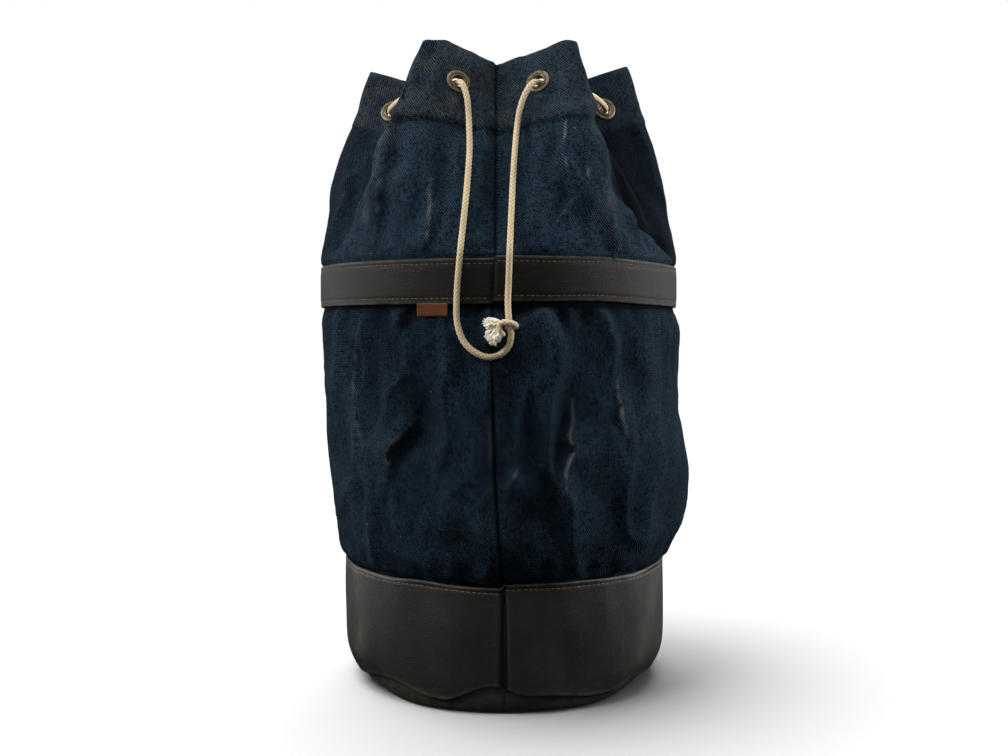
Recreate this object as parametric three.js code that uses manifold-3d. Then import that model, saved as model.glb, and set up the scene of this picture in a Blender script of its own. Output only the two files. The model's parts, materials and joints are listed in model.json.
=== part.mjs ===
// Drawstring duffel bag in denim, with a leather band round its upper part and a leather base.
// Millimetres, +Z up, the front seam faces -Y and the bag stands on z = 0.
// A "turn" is an angle in degrees round the bag: 0 at the front seam, 90 at the right side (+X).
import * as THREE from "three";
import { mergeVertices } from "three/addons/utils/BufferGeometryUtils.js";
import Module from "manifold-3d";

const wasm = await Module();
wasm.setup();

// Thickness of the materials
const DENIM = 1.4;
const HEM = 2.8;
const LEATHER = 2.2;

// Leather base: over the front it stands straight, and from these turns on it curls in to the floor
const CURL_START = 25;
const CURL_END = 65;

// Leather bottom: a shallow cup, with its radius at the front and at the sides
const CUP_SECTIONS = [
  { z: 0, front: 122, side: 106 },
  { z: 2, front: 125.6, side: 113.5 },
  { z: 9, front: 127.8, side: 121.2 },
  { z: 26, front: 127.8, side: 127.8 },
];

// Leather base wall, round the cup and the foot of the lower panel
const BASE_SHIFT = 3;
const WALL_TOP = 96;

// Leather band over the join of the two denim panels
const BAND_LOW = 305;
const BAND_HIGH = 336.5;
const BAND_RADIUS = 147.5;
const BAND_THICK = 2;
const BAND_SHIFT = -2;
const JOIN_HEIGHT = 321;
const TUCK_RADIUS = 144.9;

// Upper panel: from the band to the gathered rim
const UPPER_FOOT = 341;
const UPPER_RADIUS = 147.5;
const HEM_SHARE = 0.7;
const RIDGE_EASE = 1.75;
const CORNER_SHARE = 0.15;

// Eyelets: how far each one is along the hem from the front seam, and their share of the height
const EYELETS_ALONG = [31, 107, 182, 262, 340, 418, 499, 577, 655, 733, 810, 886];
const EYELET_SHARE = 0.836;
const EYELET_RADIUS = 9.75;
const EYELET_HOLE = 4.75;
const EYELET_BARREL = 5.7;
const HOLE_CLEARANCE = 0.6;
const EYELET_SIDES = 10;

// Drawstring
const CORD_RADIUS = 2.5;
const CORD_SIDES = 8;
const CORD_SAG = 1.4;
const CORD_GAP = 0.4;
const LEG_SLANT = 0.5;

// Tab under the band
const TAB_WIDTH = 24;
const TAB_HEIGHT = 9.6;
const TAB_THICK = 1.6;
const TAB_TURN = -18.5;
const TAB_RADIUS = 148.1;

// Front seam, a shallow groove through all the pieces
const SEAM_DENT = 1.8;
const SEAM_SPREAD = 4;

// Below its mouth the bag is this much broader than it is deep
const BROAD = 1.017;

const COLUMNS = 48;
const GAP = 0.3;

// Ridges of the gathered mouth, round from the front right one
const RIDGES = [
  { bandTurn: 35, rimTurn: 33, rimRadius: 112, rimHeight: 513 },
  { bandTurn: 91, rimTurn: 90, rimRadius: 113.5, rimHeight: 512 },
  { bandTurn: 147, rimTurn: 148, rimRadius: 110, rimHeight: 507 },
  { bandTurn: 213, rimTurn: 212, rimRadius: 110, rimHeight: 505 },
  { bandTurn: 269, rimTurn: 270, rimRadius: 117, rimHeight: 507 },
  { bandTurn: 317, rimTurn: 326.5, rimRadius: 114, rimHeight: 513 },
];

// Valleys between them, the front seam first; each lies where two faces of cloth meet
const VALLEYS = [
  { bandTurn: 0, faceLength: 70, rimHeight: 498 },
  { bandTurn: 69, faceLength: 77.7, rimHeight: 485 },
  { bandTurn: 119, faceLength: 77.7, rimHeight: 484 },
  { bandTurn: 180, faceLength: 77.7, rimHeight: 485 },
  { bandTurn: 241, faceLength: 77.7, rimHeight: 484 },
  { bandTurn: 299, faceLength: 77.7, rimHeight: 483 },
];

// Each eyelet presses a patch of the hem flat, between these shares of the face and of the height
const SEAT_LEFT = 0.3;
const SEAT_RIGHT = 0.7;
const SEAT_LOW = 0.765;
const SEAT_HIGH = 0.905;

// Shares of a face at which the upper panel has a column, and of its height for a row
const FACE_COLUMNS = [0, 0.09, 0.19, SEAT_LEFT, SEAT_RIGHT, 0.81, 0.91];
const UPPER_ROWS = [0, 0.2, 0.4, 0.59, SEAT_LOW, SEAT_HIGH, 1];

// Sections of the lower panel, from its foot inside the base wall to the join
const LOWER_SECTIONS = [
  { z: 84, radius: 129.5, shift: 3 },
  { z: 97, radius: 129.6, shift: 3 },
  { z: 103, radius: 134, shift: 3.2 },
  { z: 113, radius: 139.4, shift: 4.4 },
  { z: 130, radius: 143.6, shift: 6.2 },
  { z: 160, radius: 147.2, shift: 6.2 },
  { z: 190, radius: 147.4, shift: 3.8 },
  { z: 228, radius: 146, shift: 0.6 },
  { z: 286, radius: 147.6, shift: -1.2 },
  { z: 303, radius: TUCK_RADIUS, shift: BAND_SHIFT },
  { z: JOIN_HEIGHT - GAP, radius: TUCK_RADIUS, shift: BAND_SHIFT },
];

// Soft dents (depth above 0) and swells (below 0) of the lower panel
const LOWER_FOLDS = [
  { turn: -49, spread: 9, z: 240, reach: 52, depth: 5 },
  { turn: 27, spread: 8, z: 175, reach: 42, depth: 5 },
  { turn: -29, spread: 9, z: 182, reach: 34, depth: 4 },
  { turn: 44, spread: 9, z: 228, reach: 36, depth: 4 },
  { turn: 68, spread: 16, z: 165, reach: 36, depth: -2.6 },
  { turn: -62, spread: 9, z: 158, reach: 34, depth: 3 },
  { turn: 86, spread: 20, z: 284, reach: 11, depth: -4.5 },
  { turn: 118, spread: 12, z: 215, reach: 48, depth: 4 },
  { turn: 162, spread: 12, z: 180, reach: 46, depth: 4 },
  { turn: -112, spread: 12, z: 205, reach: 50, depth: 4 },
  { turn: -158, spread: 12, z: 235, reach: 46, depth: 4 },
];

// Sections of the base wall, with its radius at the front and at the sides
const WALL_SECTIONS = [
  { z: 7, front: 130.6, side: 122.8 },
  { z: 15, front: 130.9, side: 127.8 },
  { z: 26, front: 131.6, side: 131.3 },
  { z: 60, front: 132.6, side: 132.6 },
  { z: 96, front: 132.3, side: 132.3 },
];

// Shares of the base wall's height at which it has a row, from its slack lower edge upwards
const WALL_ROWS = [0, 0.08, 0.2, 0.6, 1];

// Height of the slack lower edge of the base wall round the bag
const WALL_HANG = [
  { turn: -180, z: 8 },
  { turn: -120, z: 7 },
  { turn: -72, z: 9 },
  { turn: -43, z: 18 },
  { turn: -21, z: 10 },
  { turn: -4, z: 22 },
  { turn: 8, z: 15 },
  { turn: 36, z: 9 },
  { turn: 50, z: 14 },
  { turn: 84, z: 8 },
  { turn: 130, z: 7 },
  { turn: 180, z: 8 },
];

// Free legs of the drawstring below their first eyelets
const LEFT_LEG = [
  [-29.6, -98.2, 474.4],
  [-27.2, -101, 468.6],
  [-25.4, -102.2, 461],
  [-24.4, -103.8, 450],
  [-23.8, -107.9, 438],
  [-23.3, -115.6, 420],
  [-24, -122.8, 405],
  [-25, -129.7, 389],
  [-26.3, -137, 373],
  [-27.6, -142, 358],
  [-29, -147.7, 343],
  [-30.3, -148, 328],
  [-31.7, -147.8, 307],
  [-31, -147.5, 289],
  [-25.9, -148.3, 276],
  [-16.6, -149.3, 268],
  [-7.9, -149.5, 265.5],
  [0.7, -149.6, 268],
  [6.2, -150.8, 274],
  [7.2, -151.8, 278.7],
];
const RIGHT_LEG = [
  [24.8, -97.6, 475.2],
  [21.4, -100.8, 470.6],
  [18, -102.2, 464],
  [14.8, -102.8, 454],
  [13, -104, 443],
  [12, -107.4, 434],
  [10.8, -114, 420],
  [9.7, -121.6, 404],
  [8.8, -129.2, 388],
  [8.1, -136.5, 373],
  [7.2, -145, 354],
  [6.9, -148.6, 346.5],
  [6.6, -150.2, 340],
  [6, -149.8, 322],
  [5.4, -149.8, 307],
  [5.6, -150.6, 299],
  [6, -152, 293.8],
];

// Knot at the end of the legs, with two frayed tails to the left
const KNOT_CENTRE = [6.5, -152.4, 286.3];
const KNOT_RADII = [8, 5.6, 7];
const KNOT_TAILS = [
  { end: [-14, -152.6, 290], thick: 4.6 },
  { end: [-12, -153.2, 275], thick: 5.2 },
];

const radians = THREE.MathUtils.degToRad;
const lerp = THREE.MathUtils.lerp;

function around(radius, turn, shift, z) {
  const angle = radians(turn);
  return new THREE.Vector3(shift + radius * Math.sin(angle), -radius * Math.cos(angle), z);
}

// Point on the bag's broad round
function onRound(radius, turn, shift, z) {
  const point = around(radius, turn, 0, z);
  return point.setX(shift + BROAD * point.x);
}

function bell(distance, spread) {
  return Math.exp(-((distance / spread) ** 2));
}

function turnApart(a, b) {
  return THREE.MathUtils.euclideanModulo(a - b + 180, 360) - 180;
}

function seamDent(turn) {
  return SEAM_DENT * bell(turnApart(turn, 0), SEAM_SPREAD);
}

function everyTurn() {
  return Array.from({ length: COLUMNS }, (_, column) => (column * 360) / COLUMNS);
}

// Folds of the mouth in order: valley, ridge, valley, ridge and so on
function mouthFolds() {
  const ridges = RIDGES.map((row) => ({
    ...row,
    rim: around(row.rimRadius, row.rimTurn, 0, row.rimHeight),
    ease: RIDGE_EASE,
  }));
  return ridges.flatMap((ridge, index) => {
    const row = VALLEYS[index];
    const before = ridges[(index + ridges.length - 1) % ridges.length];
    const middle = before.rim.clone().add(ridge.rim).multiplyScalar(0.5).setZ(0);
    const half = Math.hypot(ridge.rim.x - before.rim.x, ridge.rim.y - before.rim.y) / 2;
    const inward = Math.sqrt(row.faceLength ** 2 - half ** 2);
    const rim = middle.clone().setLength(middle.length() - inward).setZ(row.rimHeight);
    return [{ ...row, rim, ease: 1 }, ridge];
  });
}

const FOLDS = mouthFolds();
const FACES = FOLDS.length;

function foldAt(index) {
  return FOLDS[THREE.MathUtils.euclideanModulo(index, FACES)];
}

// Length of cloth in the face that starts at a fold
function faceLength(face) {
  const fold = FOLDS[face];
  return fold.faceLength ?? foldAt(face + 1).faceLength;
}

function rimLine(place) {
  const face = Math.floor(place);
  return foldAt(face).rim.clone().lerp(foldAt(face + 1).rim, place - face);
}

// Rim of the mouth with every fold rounded
function rimPoint(place) {
  const fold = Math.round(place);
  const off = place - fold;
  if (Math.abs(off) >= CORNER_SHARE) {
    return rimLine(place);
  }
  const step = (off / CORNER_SHARE + 1) / 2;
  const before = rimLine(fold - CORNER_SHARE);
  const after = rimLine(fold + CORNER_SHARE);
  const first = before.lerp(foldAt(fold).rim, step);
  const second = foldAt(fold).rim.clone().lerp(after, step);
  return first.lerp(second, step);
}

function bandTurn(place) {
  const face = Math.floor(place);
  const start = foldAt(face).bandTurn;
  const apart = turnApart(foldAt(face + 1).bandTurn, start);
  return start + apart * (place - face);
}

// Outer face of the upper panel; the share goes from 0 above the band to 1 at the rim
function upperPoint(place, share) {
  const face = Math.floor(place);
  const ease = lerp(foldAt(face).ease, foldAt(face + 1).ease, place - face);
  const foot = onRound(UPPER_RADIUS, bandTurn(place), BAND_SHIFT, UPPER_FOOT);
  const rim = rimPoint(place);
  const pull = share ** ease;
  return new THREE.Vector3(
    lerp(foot.x, rim.x, pull),
    lerp(foot.y, rim.y, pull),
    lerp(foot.z, rim.z, share),
  );
}

// Foot of the upper panel, hidden behind the band
function tuckedPoint(place, z) {
  const turn = bandTurn(place);
  return onRound(TUCK_RADIUS - seamDent(turn), turn, BAND_SHIFT, z);
}

// Flat patch under the eyelet of a face
function eyeletSeat(face) {
  const corner = (across, share) => upperPoint(face + across, share);
  const rising = corner(SEAT_RIGHT, SEAT_HIGH).sub(corner(SEAT_LEFT, SEAT_LOW));
  const falling = corner(SEAT_RIGHT, SEAT_LOW).sub(corner(SEAT_LEFT, SEAT_HIGH));
  const middle = upperPoint(face + (SEAT_LEFT + SEAT_RIGHT) / 2, (SEAT_LOW + SEAT_HIGH) / 2);
  const normal = falling.cross(rising).normalize();
  return new THREE.Plane().setFromNormalAndCoplanarPoint(normal, middle);
}

// Outer face of the upper panel with the patches under the eyelets
function panelPoint(face, across, share) {
  const point = upperPoint(face + across, share);
  const seated = [SEAT_LEFT, SEAT_RIGHT].includes(across) && [SEAT_LOW, SEAT_HIGH].includes(share);
  return seated ? eyeletSeat(face).projectPoint(point, new THREE.Vector3()) : point;
}

function lowerPoint(section, turn) {
  const dents = LOWER_FOLDS.map(
    (fold) =>
      fold.depth * bell(turnApart(turn, fold.turn), fold.spread) * bell(section.z - fold.z, fold.reach),
  );
  const dent = dents.reduce((sum, depth) => sum + depth, seamDent(turn));
  return onRound(section.radius - dent, turn, section.shift, section.z);
}

function hangHeight(turn) {
  const off = turnApart(turn, 0);
  const next = Math.max(1, WALL_HANG.findIndex((row) => row.turn >= off));
  const low = WALL_HANG[next - 1];
  const high = WALL_HANG[next];
  const step = (off - low.turn) / (high.turn - low.turn);
  return lerp(low.z, high.z, (1 - Math.cos(Math.PI * step)) / 2);
}

// Radius of the base at a height, between its front and its side section
function baseRadius(sections, z, turn) {
  const next = Math.max(1, sections.findIndex((row) => row.z >= z));
  const low = sections[next - 1];
  const high = sections[next];
  const step = (z - low.z) / (high.z - low.z);
  const curl = THREE.MathUtils.smoothstep(Math.abs(turnApart(turn, 0)), CURL_START, CURL_END);
  return lerp(lerp(low.front, high.front, step), lerp(low.side, high.side, step), curl);
}

function wallPoint(share, turn) {
  const z = lerp(hangHeight(turn), WALL_TOP, share);
  const radius = baseRadius(WALL_SECTIONS, z, turn) - seamDent(turn) * share;
  return onRound(radius, turn, BASE_SHIFT, z);
}

function cupRing(z, inset, height = z) {
  return everyTurn().map((turn) =>
    onRound(baseRadius(CUP_SECTIONS, z, turn) - inset, turn, BASE_SHIFT, height),
  );
}

function bandPoint(z, turn) {
  return onRound(BAND_RADIUS - seamDent(turn), turn, BAND_SHIFT, z);
}

function solid(positions, indices) {
  const geometry = new THREE.BufferGeometry();
  geometry.setAttribute("position", new THREE.Float32BufferAttribute(positions, 3));
  geometry.setIndex(indices);
  return geometry;
}

function wallNormal(rows, row, column) {
  const count = rows[row].length;
  const level = rows[row];
  const across = level[(column + 1) % count].clone().sub(level[(column + count - 1) % count]);
  const above = rows[Math.min(row + 1, rows.length - 1)][column];
  const below = rows[Math.max(row - 1, 0)][column];
  return across.cross(above.clone().sub(below)).normalize();
}

// Closed tube of sheet from rings of its outer face, thickened inwards row by row
function sheetTube(rows, thickness) {
  const count = rows[0].length;
  const inner = rows.map((level, row) =>
    level.map((point, column) =>
      point.clone().addScaledVector(wallNormal(rows, row, column), -thickness[row]),
    ),
  );
  const points = [...rows.flat(), ...inner.flat()];
  const outside = (row, column) => row * count + (column % count);
  const inside = (row, column) => rows.flat().length + outside(row, column);
  const indices = [];
  const quad = (a, b, c, d) => indices.push(a, b, c, a, c, d);
  const top = rows.length - 1;
  for (let column = 0; column < count; column += 1) {
    const next = column + 1;
    for (let row = 0; row < top; row += 1) {
      quad(outside(row, column), outside(row, next), outside(row + 1, next), outside(row + 1, column));
      quad(inside(row, next), inside(row, column), inside(row + 1, column), inside(row + 1, next));
    }
    quad(outside(top, column), outside(top, next), inside(top, next), inside(top, column));
    quad(outside(0, next), outside(0, column), inside(0, column), inside(0, next));
  }
  return solid(points.flatMap((point) => point.toArray()), indices);
}

function toManifold(geometry) {
  const bare = new THREE.BufferGeometry();
  bare.setAttribute("position", geometry.getAttribute("position"));
  bare.setIndex(geometry.getIndex());
  const merged = mergeVertices(bare, 1e-4);
  return new wasm.Manifold(
    new wasm.Mesh({
      numProp: 3,
      vertProperties: new Float32Array(merged.getAttribute("position").array),
      triVerts: new Uint32Array(merged.getIndex().array),
    }),
  );
}

function fromManifold(body) {
  const mesh = body.getMesh();
  return solid(Array.from(mesh.vertProperties), Array.from(mesh.triVerts));
}

// Places round the mouth of the eyelets
function eyeletPlaces() {
  return EYELETS_ALONG.map((along) => {
    let left = along;
    let face = 0;
    while (left > faceLength(face)) {
      left -= faceLength(face);
      face += 1;
    }
    return face + left / faceLength(face);
  });
}

// Where an eyelet sits, and how the cord passes through it: low in the hole on its way round
// the mouth, slanting down at the two front eyelets where a leg leaves it
function eyeletFrame(place, index) {
  const seat = eyeletSeat(Math.floor(place));
  const leg = index === 0 || index === EYELETS_ALONG.length - 1;
  const normal = seat.normal;
  const centre = seat.projectPoint(upperPoint(place, EYELET_SHARE), new THREE.Vector3());
  const down = new THREE.Vector3(0, 0, -1).projectOnPlane(normal).normalize();
  const turn = new THREE.Quaternion().setFromUnitVectors(new THREE.Vector3(0, 1, 0), normal);
  const heart = centre.clone().addScaledVector(normal, -HEM / 2).addScaledVector(down, leg ? 0 : CORD_SAG);
  const through = normal.clone().addScaledVector(down, leg ? LEG_SLANT : 0).normalize();
  return { centre, turn, heart, through };
}

const EYELETS = eyeletPlaces().map(eyeletFrame);

// Eyelet about the Y axis: a domed flange outside, a barrel and a washer inside the hem
function eyeletGeometry() {
  const profile = [
    [EYELET_RADIUS, GAP],
    [EYELET_RADIUS - 1.2, 1.5],
    [EYELET_RADIUS - 3.6, 1.7],
    [EYELET_HOLE, 0.6],
    [EYELET_HOLE, -HEM - 1.3],
    [EYELET_RADIUS - 1.2, -HEM - GAP],
    [EYELET_BARREL, -HEM - GAP],
    [EYELET_BARREL, GAP],
    [EYELET_RADIUS, GAP],
  ];
  const points = profile.map(([radius, height]) => new THREE.Vector2(radius, height));
  return new THREE.LatheGeometry(points, EYELET_SIDES);
}

function placed(geometry, frame) {
  return geometry.applyQuaternion(frame.turn).translate(...frame.centre.toArray());
}

function upperPanel() {
  const columns = FOLDS.flatMap((_, face) => FACE_COLUMNS.map((across) => ({ face, across })));
  const tucked = [JOIN_HEIGHT + GAP, BAND_HIGH + GAP].map((z) =>
    columns.map(({ face, across }) => tuckedPoint(face + across, z)),
  );
  const free = UPPER_ROWS.map((share) =>
    columns.map(({ face, across }) => panelPoint(face, across, share)),
  );
  const thickness = UPPER_ROWS.map((share) => (share < HEM_SHARE ? DENIM : HEM));
  let panel = toManifold(sheetTube([...tucked, ...free], [DENIM, DENIM, ...thickness]));
  EYELETS.forEach((frame) => {
    const radius = EYELET_BARREL + HOLE_CLEARANCE;
    const punch = new THREE.CylinderGeometry(radius, radius, HEM * 4, EYELET_SIDES);
    panel = panel.subtract(toManifold(placed(punch, frame)));
  });
  return fromManifold(panel);
}

function lowerPanel() {
  const rows = LOWER_SECTIONS.map((section) => everyTurn().map((turn) => lowerPoint(section, turn)));
  return sheetTube(rows, rows.map(() => DENIM));
}

function baseWall() {
  const rows = WALL_ROWS.map((share) => everyTurn().map((turn) => wallPoint(share, turn)));
  return sheetTube(rows, rows.map(() => LEATHER));
}

function band() {
  const rows = [BAND_LOW, BAND_HIGH].map((z) => everyTurn().map((turn) => bandPoint(z, turn)));
  return sheetTube(rows, rows.map(() => BAND_THICK));
}

// Closed bowl from rings that go up its outside, over its rim and down its inside
function bowl(rings, underside, floor) {
  const count = rings[0].length;
  const points = [...rings.flat(), underside, floor];
  const at = (ring, column) => ring * count + (column % count);
  const last = rings.length - 1;
  const indices = [];
  for (let column = 0; column < count; column += 1) {
    const next = column + 1;
    indices.push(points.length - 2, at(0, next), at(0, column));
    for (let ring = 0; ring < last; ring += 1) {
      indices.push(at(ring, column), at(ring, next), at(ring + 1, next));
      indices.push(at(ring, column), at(ring + 1, next), at(ring + 1, column));
    }
    indices.push(at(last, column), at(last, next), points.length - 1);
  }
  return solid(points.flatMap((point) => point.toArray()), indices);
}

function baseCup() {
  const [bottom, corner, flank, rim] = CUP_SECTIONS.map((row) => row.z);
  const rings = [
    ...[bottom, corner, flank, rim].map((z) => cupRing(z, 0)),
    ...[rim, flank].map((z) => cupRing(z, LEATHER)),
    cupRing(bottom, 1, LEATHER),
  ];
  const centre = (z) => new THREE.Vector3(BASE_SHIFT, 0, z);
  return bowl(rings, centre(0), centre(LEATHER));
}

function tab() {
  const shape = new THREE.BoxGeometry(TAB_WIDTH, TAB_THICK, TAB_HEIGHT);
  const centre = onRound(TAB_RADIUS, TAB_TURN, BAND_SHIFT, BAND_LOW - GAP - TAB_HEIGHT / 2);
  return shape.rotateZ(radians(TAB_TURN)).translate(...centre.toArray());
}

function cord(points, steps) {
  const corners = Array.from({ length: CORD_SIDES }, (_, corner) => {
    const angle = (corner * 2 * Math.PI) / CORD_SIDES;
    return new THREE.Vector2(CORD_RADIUS * Math.cos(angle), CORD_RADIUS * Math.sin(angle));
  });
  const extrudePath = new THREE.CatmullRomCurve3(points, false, "centripetal");
  return new THREE.ExtrudeGeometry(new THREE.Shape(corners), { steps, extrudePath, bevelEnabled: false });
}

// Threaded part: in at the first eyelet, out at the second, and so on round the mouth
function cordRun() {
  const reach = HEM / 2 + 3.5;
  const last = EYELETS.length - 1;
  const points = EYELETS.flatMap(({ heart, through }, index) => {
    const inside = heart.clone().addScaledVector(through, -reach);
    const outside = heart.clone().addScaledVector(through, reach);
    const passage = index % 2 === 0 ? [outside, heart, inside] : [inside, heart, outside];
    if (index === 0) {
      return passage.slice(1);
    }
    return index === last ? passage.slice(0, 2) : passage;
  });
  return cord(points, 46);
}

function cordLeg(frame, route, steps) {
  const start = frame.heart.clone().addScaledVector(frame.through, CORD_GAP);
  const mouth = frame.heart.clone().addScaledVector(frame.through, HEM / 2 + 4);
  const points = [start, mouth, ...route.map((point) => new THREE.Vector3(...point))];
  return cord(points, steps);
}

function knotTail(tail) {
  const start = new THREE.Vector3(...KNOT_CENTRE);
  const way = new THREE.Vector3(...tail.end).sub(start);
  const turn = new THREE.Quaternion().setFromUnitVectors(
    new THREE.Vector3(0, 1, 0),
    way.clone().normalize(),
  );
  const middle = start.addScaledVector(way, 0.5);
  return new THREE.CylinderGeometry(tail.thick, CORD_RADIUS, way.length(), CORD_SIDES)
    .applyQuaternion(turn)
    .translate(...middle.toArray());
}

function knot() {
  const heart = new THREE.SphereGeometry(1, 10, 7).scale(...KNOT_RADII).translate(...KNOT_CENTRE);
  const tails = KNOT_TAILS.map((tail) => toManifold(knotTail(tail)));
  return fromManifold(tails.reduce((body, tail) => body.add(tail), toManifold(heart)));
}

const LOOKS = {
  denim: { color: 0x1f2b38, roughness: 0.95, metalness: 0 },
  leather: { color: 0x2f2b27, roughness: 0.6, metalness: 0 },
  tan: { color: 0x6b3a1c, roughness: 0.6, metalness: 0 },
  brass: { color: 0x83714f, roughness: 0.4, metalness: 1 },
  cotton: { color: 0xcdb98f, roughness: 0.95, metalness: 0 },
};

const bag = new THREE.Group();
bag.name = "duffel_bag";

function addNode(name, geometry, look) {
  const mesh = new THREE.Mesh(geometry, new THREE.MeshStandardMaterial(LOOKS[look]));
  mesh.name = name;
  bag.add(mesh);
}

addNode("base_cup", baseCup(), "leather");
addNode("base_wall", baseWall(), "leather");
addNode("denim_lower", lowerPanel(), "denim");
addNode("leather_band", band(), "leather");
addNode("denim_upper", upperPanel(), "denim");
addNode("label_tab", tab(), "tan");
EYELETS.forEach((frame, index) => {
  const name = `eyelet_${String(index + 1).padStart(2, "0")}`;
  addNode(name, placed(eyeletGeometry(), frame), "brass");
});
addNode("drawstring_run", cordRun(), "cotton");
addNode("drawstring_left", cordLeg(EYELETS[EYELETS.length - 1], LEFT_LEG, 24), "cotton");
addNode("drawstring_right", cordLeg(EYELETS[0], RIGHT_LEG, 18), "cotton");
addNode("drawstring_knot", knot(), "cotton");

export default bag;
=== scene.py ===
import json
import math
from contextlib import contextmanager

import bmesh
import bpy
import numpy as np
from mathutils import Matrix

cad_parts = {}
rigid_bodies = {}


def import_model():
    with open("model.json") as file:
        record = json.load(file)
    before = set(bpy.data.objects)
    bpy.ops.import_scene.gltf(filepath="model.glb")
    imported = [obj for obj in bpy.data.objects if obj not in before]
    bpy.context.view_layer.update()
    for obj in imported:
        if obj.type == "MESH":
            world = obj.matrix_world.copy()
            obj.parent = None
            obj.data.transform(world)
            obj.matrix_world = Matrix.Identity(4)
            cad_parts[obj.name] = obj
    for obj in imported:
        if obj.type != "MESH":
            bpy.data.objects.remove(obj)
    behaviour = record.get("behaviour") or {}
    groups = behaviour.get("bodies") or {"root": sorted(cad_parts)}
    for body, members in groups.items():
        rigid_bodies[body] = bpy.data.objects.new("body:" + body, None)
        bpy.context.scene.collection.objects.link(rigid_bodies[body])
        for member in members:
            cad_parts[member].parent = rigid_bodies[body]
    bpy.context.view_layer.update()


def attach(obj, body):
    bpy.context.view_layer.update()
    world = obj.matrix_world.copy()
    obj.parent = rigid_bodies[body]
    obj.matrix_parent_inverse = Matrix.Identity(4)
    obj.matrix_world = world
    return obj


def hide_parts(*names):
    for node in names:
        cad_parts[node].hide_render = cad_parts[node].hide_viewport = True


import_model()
scene = bpy.context.scene

# Sizes are in metres, and the relief of cloth and leather is worked out in millimetres.
# Turns are degrees from the front seam towards +X.
MM = 0.001

# Camera of the photograph: level, with the horizon above the middle of the picture
CAMERA_AT = (2.57 * MM, -955 * MM, 283 * MM)
IMAGE_WIDTH = 1008
FOCAL_PIXELS = 1116
SENSOR_WIDTH = 36
HORIZON_OFFSET = -45

# Cloth and leather
DENIM = 1.4 * MM
HEM = 2.8 * MM
LEATHER = 2.2 * MM

# Below its mouth the bag is this much broader than it is deep
BROAD = 1.017

# Leather base: height, radius at the front and radius at the sides, where it curls in to the floor
CURL_START, CURL_END = 25, 65
CUP_SECTIONS = MM * np.array([(0, 122, 106), (2, 125.6, 113.5), (9, 127.8, 121.2), (26, 127.8, 127.8)])
WALL_SECTIONS = MM * np.array([
    (7, 130.6, 122.8), (15, 130.9, 127.8), (26, 131.6, 131.3), (60, 132.6, 132.6), (96, 132.3, 132.3),
])
BASE_SHIFT = 3 * MM
WALL_TOP = 96 * MM
WALL_MAP_RADIUS = 132 * MM
# At the front seam the left piece of the base sits lower and the right piece of the band higher
WALL_STEP, BAND_STEP = 3 * MM, 2 * MM
# The band rises a little on the right half of the front
BAND_RISE = 2.4 * MM
# Lower edge of the wall by turn
WALL_HANG_TURNS = [-180, -120, -72, -43, -21, -4, 8, 36, 50, 84, 130, 180]
WALL_HANG = MM * np.array([8, 7, 9, 18, 10, 22, 15, 9, 14, 8, 7, 8])

# Band over the join of the panels
BAND_LOW = 305 * MM
BAND_HIGH = 336.5 * MM
BAND_RADIUS = 147.5 * MM
BAND_THICK = 2 * MM
BAND_SHIFT = -2 * MM
JOIN_HEIGHT = 321 * MM
TUCK_RADIUS = 144.9 * MM
GAP = 0.3 * MM

# Lower panel: height, radius and shift of its sections
LOWER_SECTIONS = MM * np.array([
    (84, 129.5, 3), (97, 129.6, 3), (103, 134, 3.2), (113, 139.4, 4.4), (130, 143.6, 6.2),
    (160, 147.2, 6.2), (190, 147.4, 3.8), (228, 146, 0.6), (286, 147.6, -1.2),
    (303, 144.9, -2), (320.7, 144.9, -2),
])
LOWER_MAP_RADIUS = 147 * MM

# Upper panel
UPPER_FOOT = 341 * MM
UPPER_RADIUS = 147.5 * MM
HEM_SHARE = 0.7
RIDGE_EASE = 1.75
CORNER_SHARE = 0.15
# Ridges of the gathered mouth: turn at the band, then turn, radius and height at the rim
RIDGES = [
    (35, 33, 112, 513), (91, 90, 113.5, 512), (147, 148, 110, 507),
    (213, 212, 110, 505), (269, 270, 117, 507), (317, 326.5, 114, 513),
]
# Valleys before each ridge: turn at the band, cloth to the next ridge and height at the rim
VALLEYS = [
    (0, 70, 498), (69, 77.7, 485), (119, 77.7, 484),
    (180, 77.7, 485), (241, 77.7, 484), (299, 77.7, 483),
]
FACES = 2 * len(RIDGES)
# Share of the height at which the hem shows: in front and on the other lobes
FRONT_HEM_SHARE, SIDE_HEM_SHARE = 0.64, 0.73
# Rise of the rim over the straight line between its folds, by place round the mouth
RIM_LIFT_PLACES = [
    0, 0.2, 0.35, 0.6, 0.8, 1, 3, 3.5, 4, 8, 8.4, 9, 11, 11.12, 11.34, 11.6, 11.85, 12,
]
RIM_LIFT = MM * np.array([0, 0, -1.4, -1.4, -1, -3.6, 0, 2, 0, 0, 2, 0, -3, -2.6, 2, 0, -0.4, 0])

# Eyelets: how far each one is along the hem from the front seam, and their share of the height
EYELETS_ALONG = MM * np.array([31, 107, 182, 262, 340, 418, 499, 577, 655, 733, 810, 886])
EYELET_COUNT = len(EYELETS_ALONG)
EYELET_SHARE = 0.836
EYELET_HOLE = 6 * MM
EYELET_DEPTH = 3.5 * MM
EYELET_SIDES = 48
EYELET_GROOVE = 6.6 * MM
# Flat seat of an eyelet on its face: low left, high left, low right, high right and middle
SEAT_PLACES = np.array([0.3, 0.3, 0.7, 0.7, 0.5])
SEAT_SHARES = np.array([0.765, 0.905, 0.765, 0.905, 0.835])
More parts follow.
